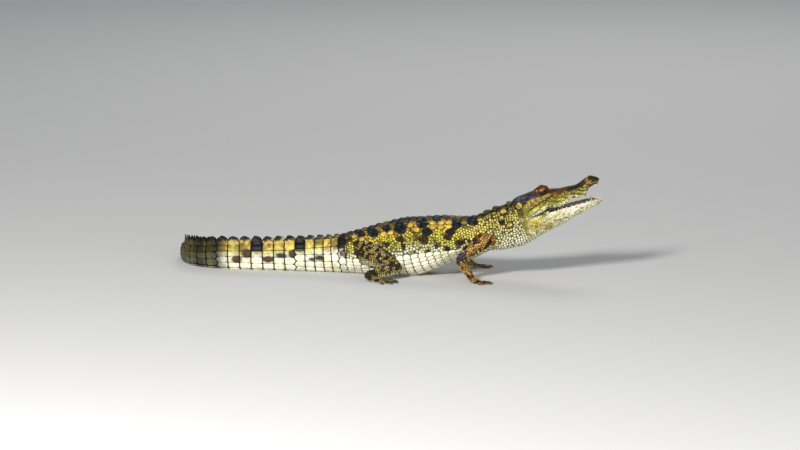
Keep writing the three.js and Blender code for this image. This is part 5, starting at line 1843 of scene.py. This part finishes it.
# ------ materials
def hide_material(name, roughness, bump, speckle, shine, coat=0.0):
    """The tint attribute with a little procedural dirt and relief."""
    material = bpy.data.materials.new(name)
    material.use_nodes = True
    nodes, links = material.node_tree.nodes, material.node_tree.links

    def add(kind, inputs, **settings):
        node = nodes.new("ShaderNode" + kind)
        for key, value in settings.items():
            setattr(node, key, value)
        for key, value in inputs.items():
            node.inputs[key].default_value = value
        return node

    def link(source, output, target, key):
        links.new(source.outputs[output], target.inputs[key])

    shader = nodes["Principled BSDF"]
    for key, value in (("Roughness", roughness), ("Specular IOR Level", shine), ("Coat Weight", coat),
                       ("Coat Roughness", 0.05)):
        shader.inputs[key].default_value = value
    tint = add("Attribute", {}, attribute_name="tint")
    where = add("TexCoord", {})
    both = add("Math", {}, operation="MULTIPLY")
    # Fine and broad dirt: scale, detail, half range of the noise that counts, how much lighter it makes.
    for number, (scale, detail, half, lighter) in enumerate(((420, 4, 0.2, 0.6), (170, 3, 0.15, 0.35))):
        dirt = add("TexNoise", {"Scale": scale, "Detail": detail})
        link(where, "Object", dirt, "Vector")
        spread = add("MapRange", {"From Min": 0.5 - half, "From Max": 0.5 + half,
                                  "To Min": 1 - speckle, "To Max": 1 + speckle * lighter})
        link(dirt, "Fac", spread, "Value")
        link(spread, "Result", both, number)
    stained = add("Mix", {"Factor": 1}, data_type="RGBA", blend_type="MULTIPLY")
    link(tint, "Color", stained, "A")
    link(both, "Value", stained, "B")
    link(stained, "Result", shader, "Base Color")
    relief = add("Bump", {"Strength": bump, "Distance": 0.0012})
    grain = add("TexNoise", {"Scale": 330, "Detail": 6, "Distortion": 0.6})
    link(where, "Object", grain, "Vector")
    link(grain, "Fac", relief, "Height")
    link(relief, "Normal", shader, "Normal")
    return material


def finish_skin(skin, material):
    mesh = skin.data
    points, normal = coordinates(mesh), normals(mesh)
    at = place(points)
    body, along = at["kind"] == BODY_KIND, at["head"][:, 0]
    under = smooth(0.46, 0.6, at["t"])
    # The skin shows between the scales as shade, deepest where the scales are small.
    share = np.select([at["kind"] == SKULL_KIND, at["kind"] == JAW_KIND, at["kind"] == LIMB_KIND,
                       body & (at["tail"] > TAIL_FROM_VENT), body & (at["length"] < NECK_END)],
                      [0.3, 0.44, 0.15, 0.04, 0.09 + 0.04 * under], 0.15 - 0.02 * under)
    colour = mix(markings(at, normal), BROWN * 0.5, np.full(len(points), 0.45)) * share[:, None] * 1.8
    lining = mix(PINK * 0.85, rgb("a7793c"), smooth(105, 60, along))
    lining = mix(lining, DARK * 0.5, smooth(72, 62, along) * 0.9)
    lining = mix(lining, GREY * 1.5, cloud(0.55, 0.75, points, 7, 23) * 0.5)
    colour = np.where(in_mouth(at, normal)[:, None], lining, colour)
    colour = np.where(on_crest(at)[:, None], colour * 1.2, colour)
    colour = np.where(in_socket(at)[:, None], RUST * 0.5, colour)
    paint(skin, "tint", np.clip(colour, 0.003, 1))
    paint(skin, "crown", np.zeros(len(points)))
    mesh.shade_smooth()
    mesh.materials.append(material)
    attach(skin, "root")


FLESH = ["skull", "lower_jaw", "neck", "trunk", "tail_base", "tail_middle", "tail_rear", "tail_end"]
FLESH += [part + "_" + side for part in ("upper_arm", "forearm", "hand", "thigh", "shank", "foot")
          for side in ("right", "left")]


# ------ stage
def area_light(name, at, target, size, power):
    light = bpy.data.lights.new(name, "AREA")
    light.shape = "DISK"
    light.size = size
    light.energy = power
    made = bpy.data.objects.new(name, light)
    made.location = at
    made.rotation_euler = (Vector(target) - Vector(at)).to_track_quat("-Z", "Y").to_euler()
    bpy.context.scene.collection.objects.link(made)


CAMERA_RISE, CAMERA_DISTANCE = 9, 14  # degrees above the level of the target, metres from it
CAMERA_TARGET = (-0.0225, 0, 0.1093)


def build_stage():
    scene = bpy.context.scene
    radius, sides = 60.0, 96
    angle = turns(sides)
    rim = np.stack([np.cos(angle) * radius, np.sin(angle) * radius, angle * 0], 1)
    floor = mesh_object("floor", rim / MM, [tuple(range(sides))])
    pale = bpy.data.materials.new("floor")
    pale.use_nodes = True
    shader = pale.node_tree.nodes["Principled BSDF"]
    shader.inputs["Base Color"].default_value = (0.50, 0.49, 0.47, 1)
    shader.inputs["Roughness"].default_value = 0.9
    floor.data.materials.append(pale)
    world = scene.world or bpy.data.worlds.new("world")
    scene.world = world
    world.use_nodes = True
    sky = world.node_tree.nodes["Background"]
    sky.inputs["Color"].default_value = (0.80, 0.86, 0.95, 1)
    sky.inputs["Strength"].default_value = 0.34
    area_light("key", (-1.9, -4.4, 2.9), (0, 0, 0.1), 1.2, 400)
    area_light("fill", (2.4, -4.7, 0.6), (0.1, 0, 0.1), 2.4, 120)
    area_light("back", (0.8, 4.4, 3.4), (0, 0, 0.1), 2.0, 75)
    camera = bpy.data.cameras.new("camera")
    camera.sensor_width, camera.lens, camera.clip_end = 36, 280, 200
    made = bpy.data.objects.new("camera", camera)
    rise = math.radians(CAMERA_RISE)
    made.location = Vector(CAMERA_TARGET) + Vector((0, -math.cos(rise), math.sin(rise))) * CAMERA_DISTANCE
    made.rotation_euler = (math.radians(90 - CAMERA_RISE), 0, 0)
    scene.collection.objects.link(made)
    scene.camera = made
    scene.view_settings.view_transform = "Standard"


def main():
    skin = build_skin()
    surface = Surface(skin)
    hide = hide_material("hide", 0.46, 0.5, 0.26, 0.13)
    soft = hide_material("soft", 0.6, 0.4, 0.15, 0.12)
    wet = hide_material("wet", 0.25, 0.35, 0.2, 0.4)
    horn = hide_material("horn", 0.32, 0.25, 0.2, 0.35)
    bone = hide_material("bone", 0.3, 0.15, 0.1, 0.4)
    eye = hide_material("eye", 0.12, 0.0, 0.0, 0.5, coat=1.0)
    finish_skin(skin, soft)
    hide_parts(*FLESH)
    build_coat(surface, hide)
    for mirror in (-1, 1):
        build_eye(mirror, eye)
        build_lid(mirror, hide)
    build_nostrils(surface, hide)
    build_teeth(bone)
    build_tongue(wet)
    build_claws(horn)
    build_crest(hide)
    build_stage()


main()
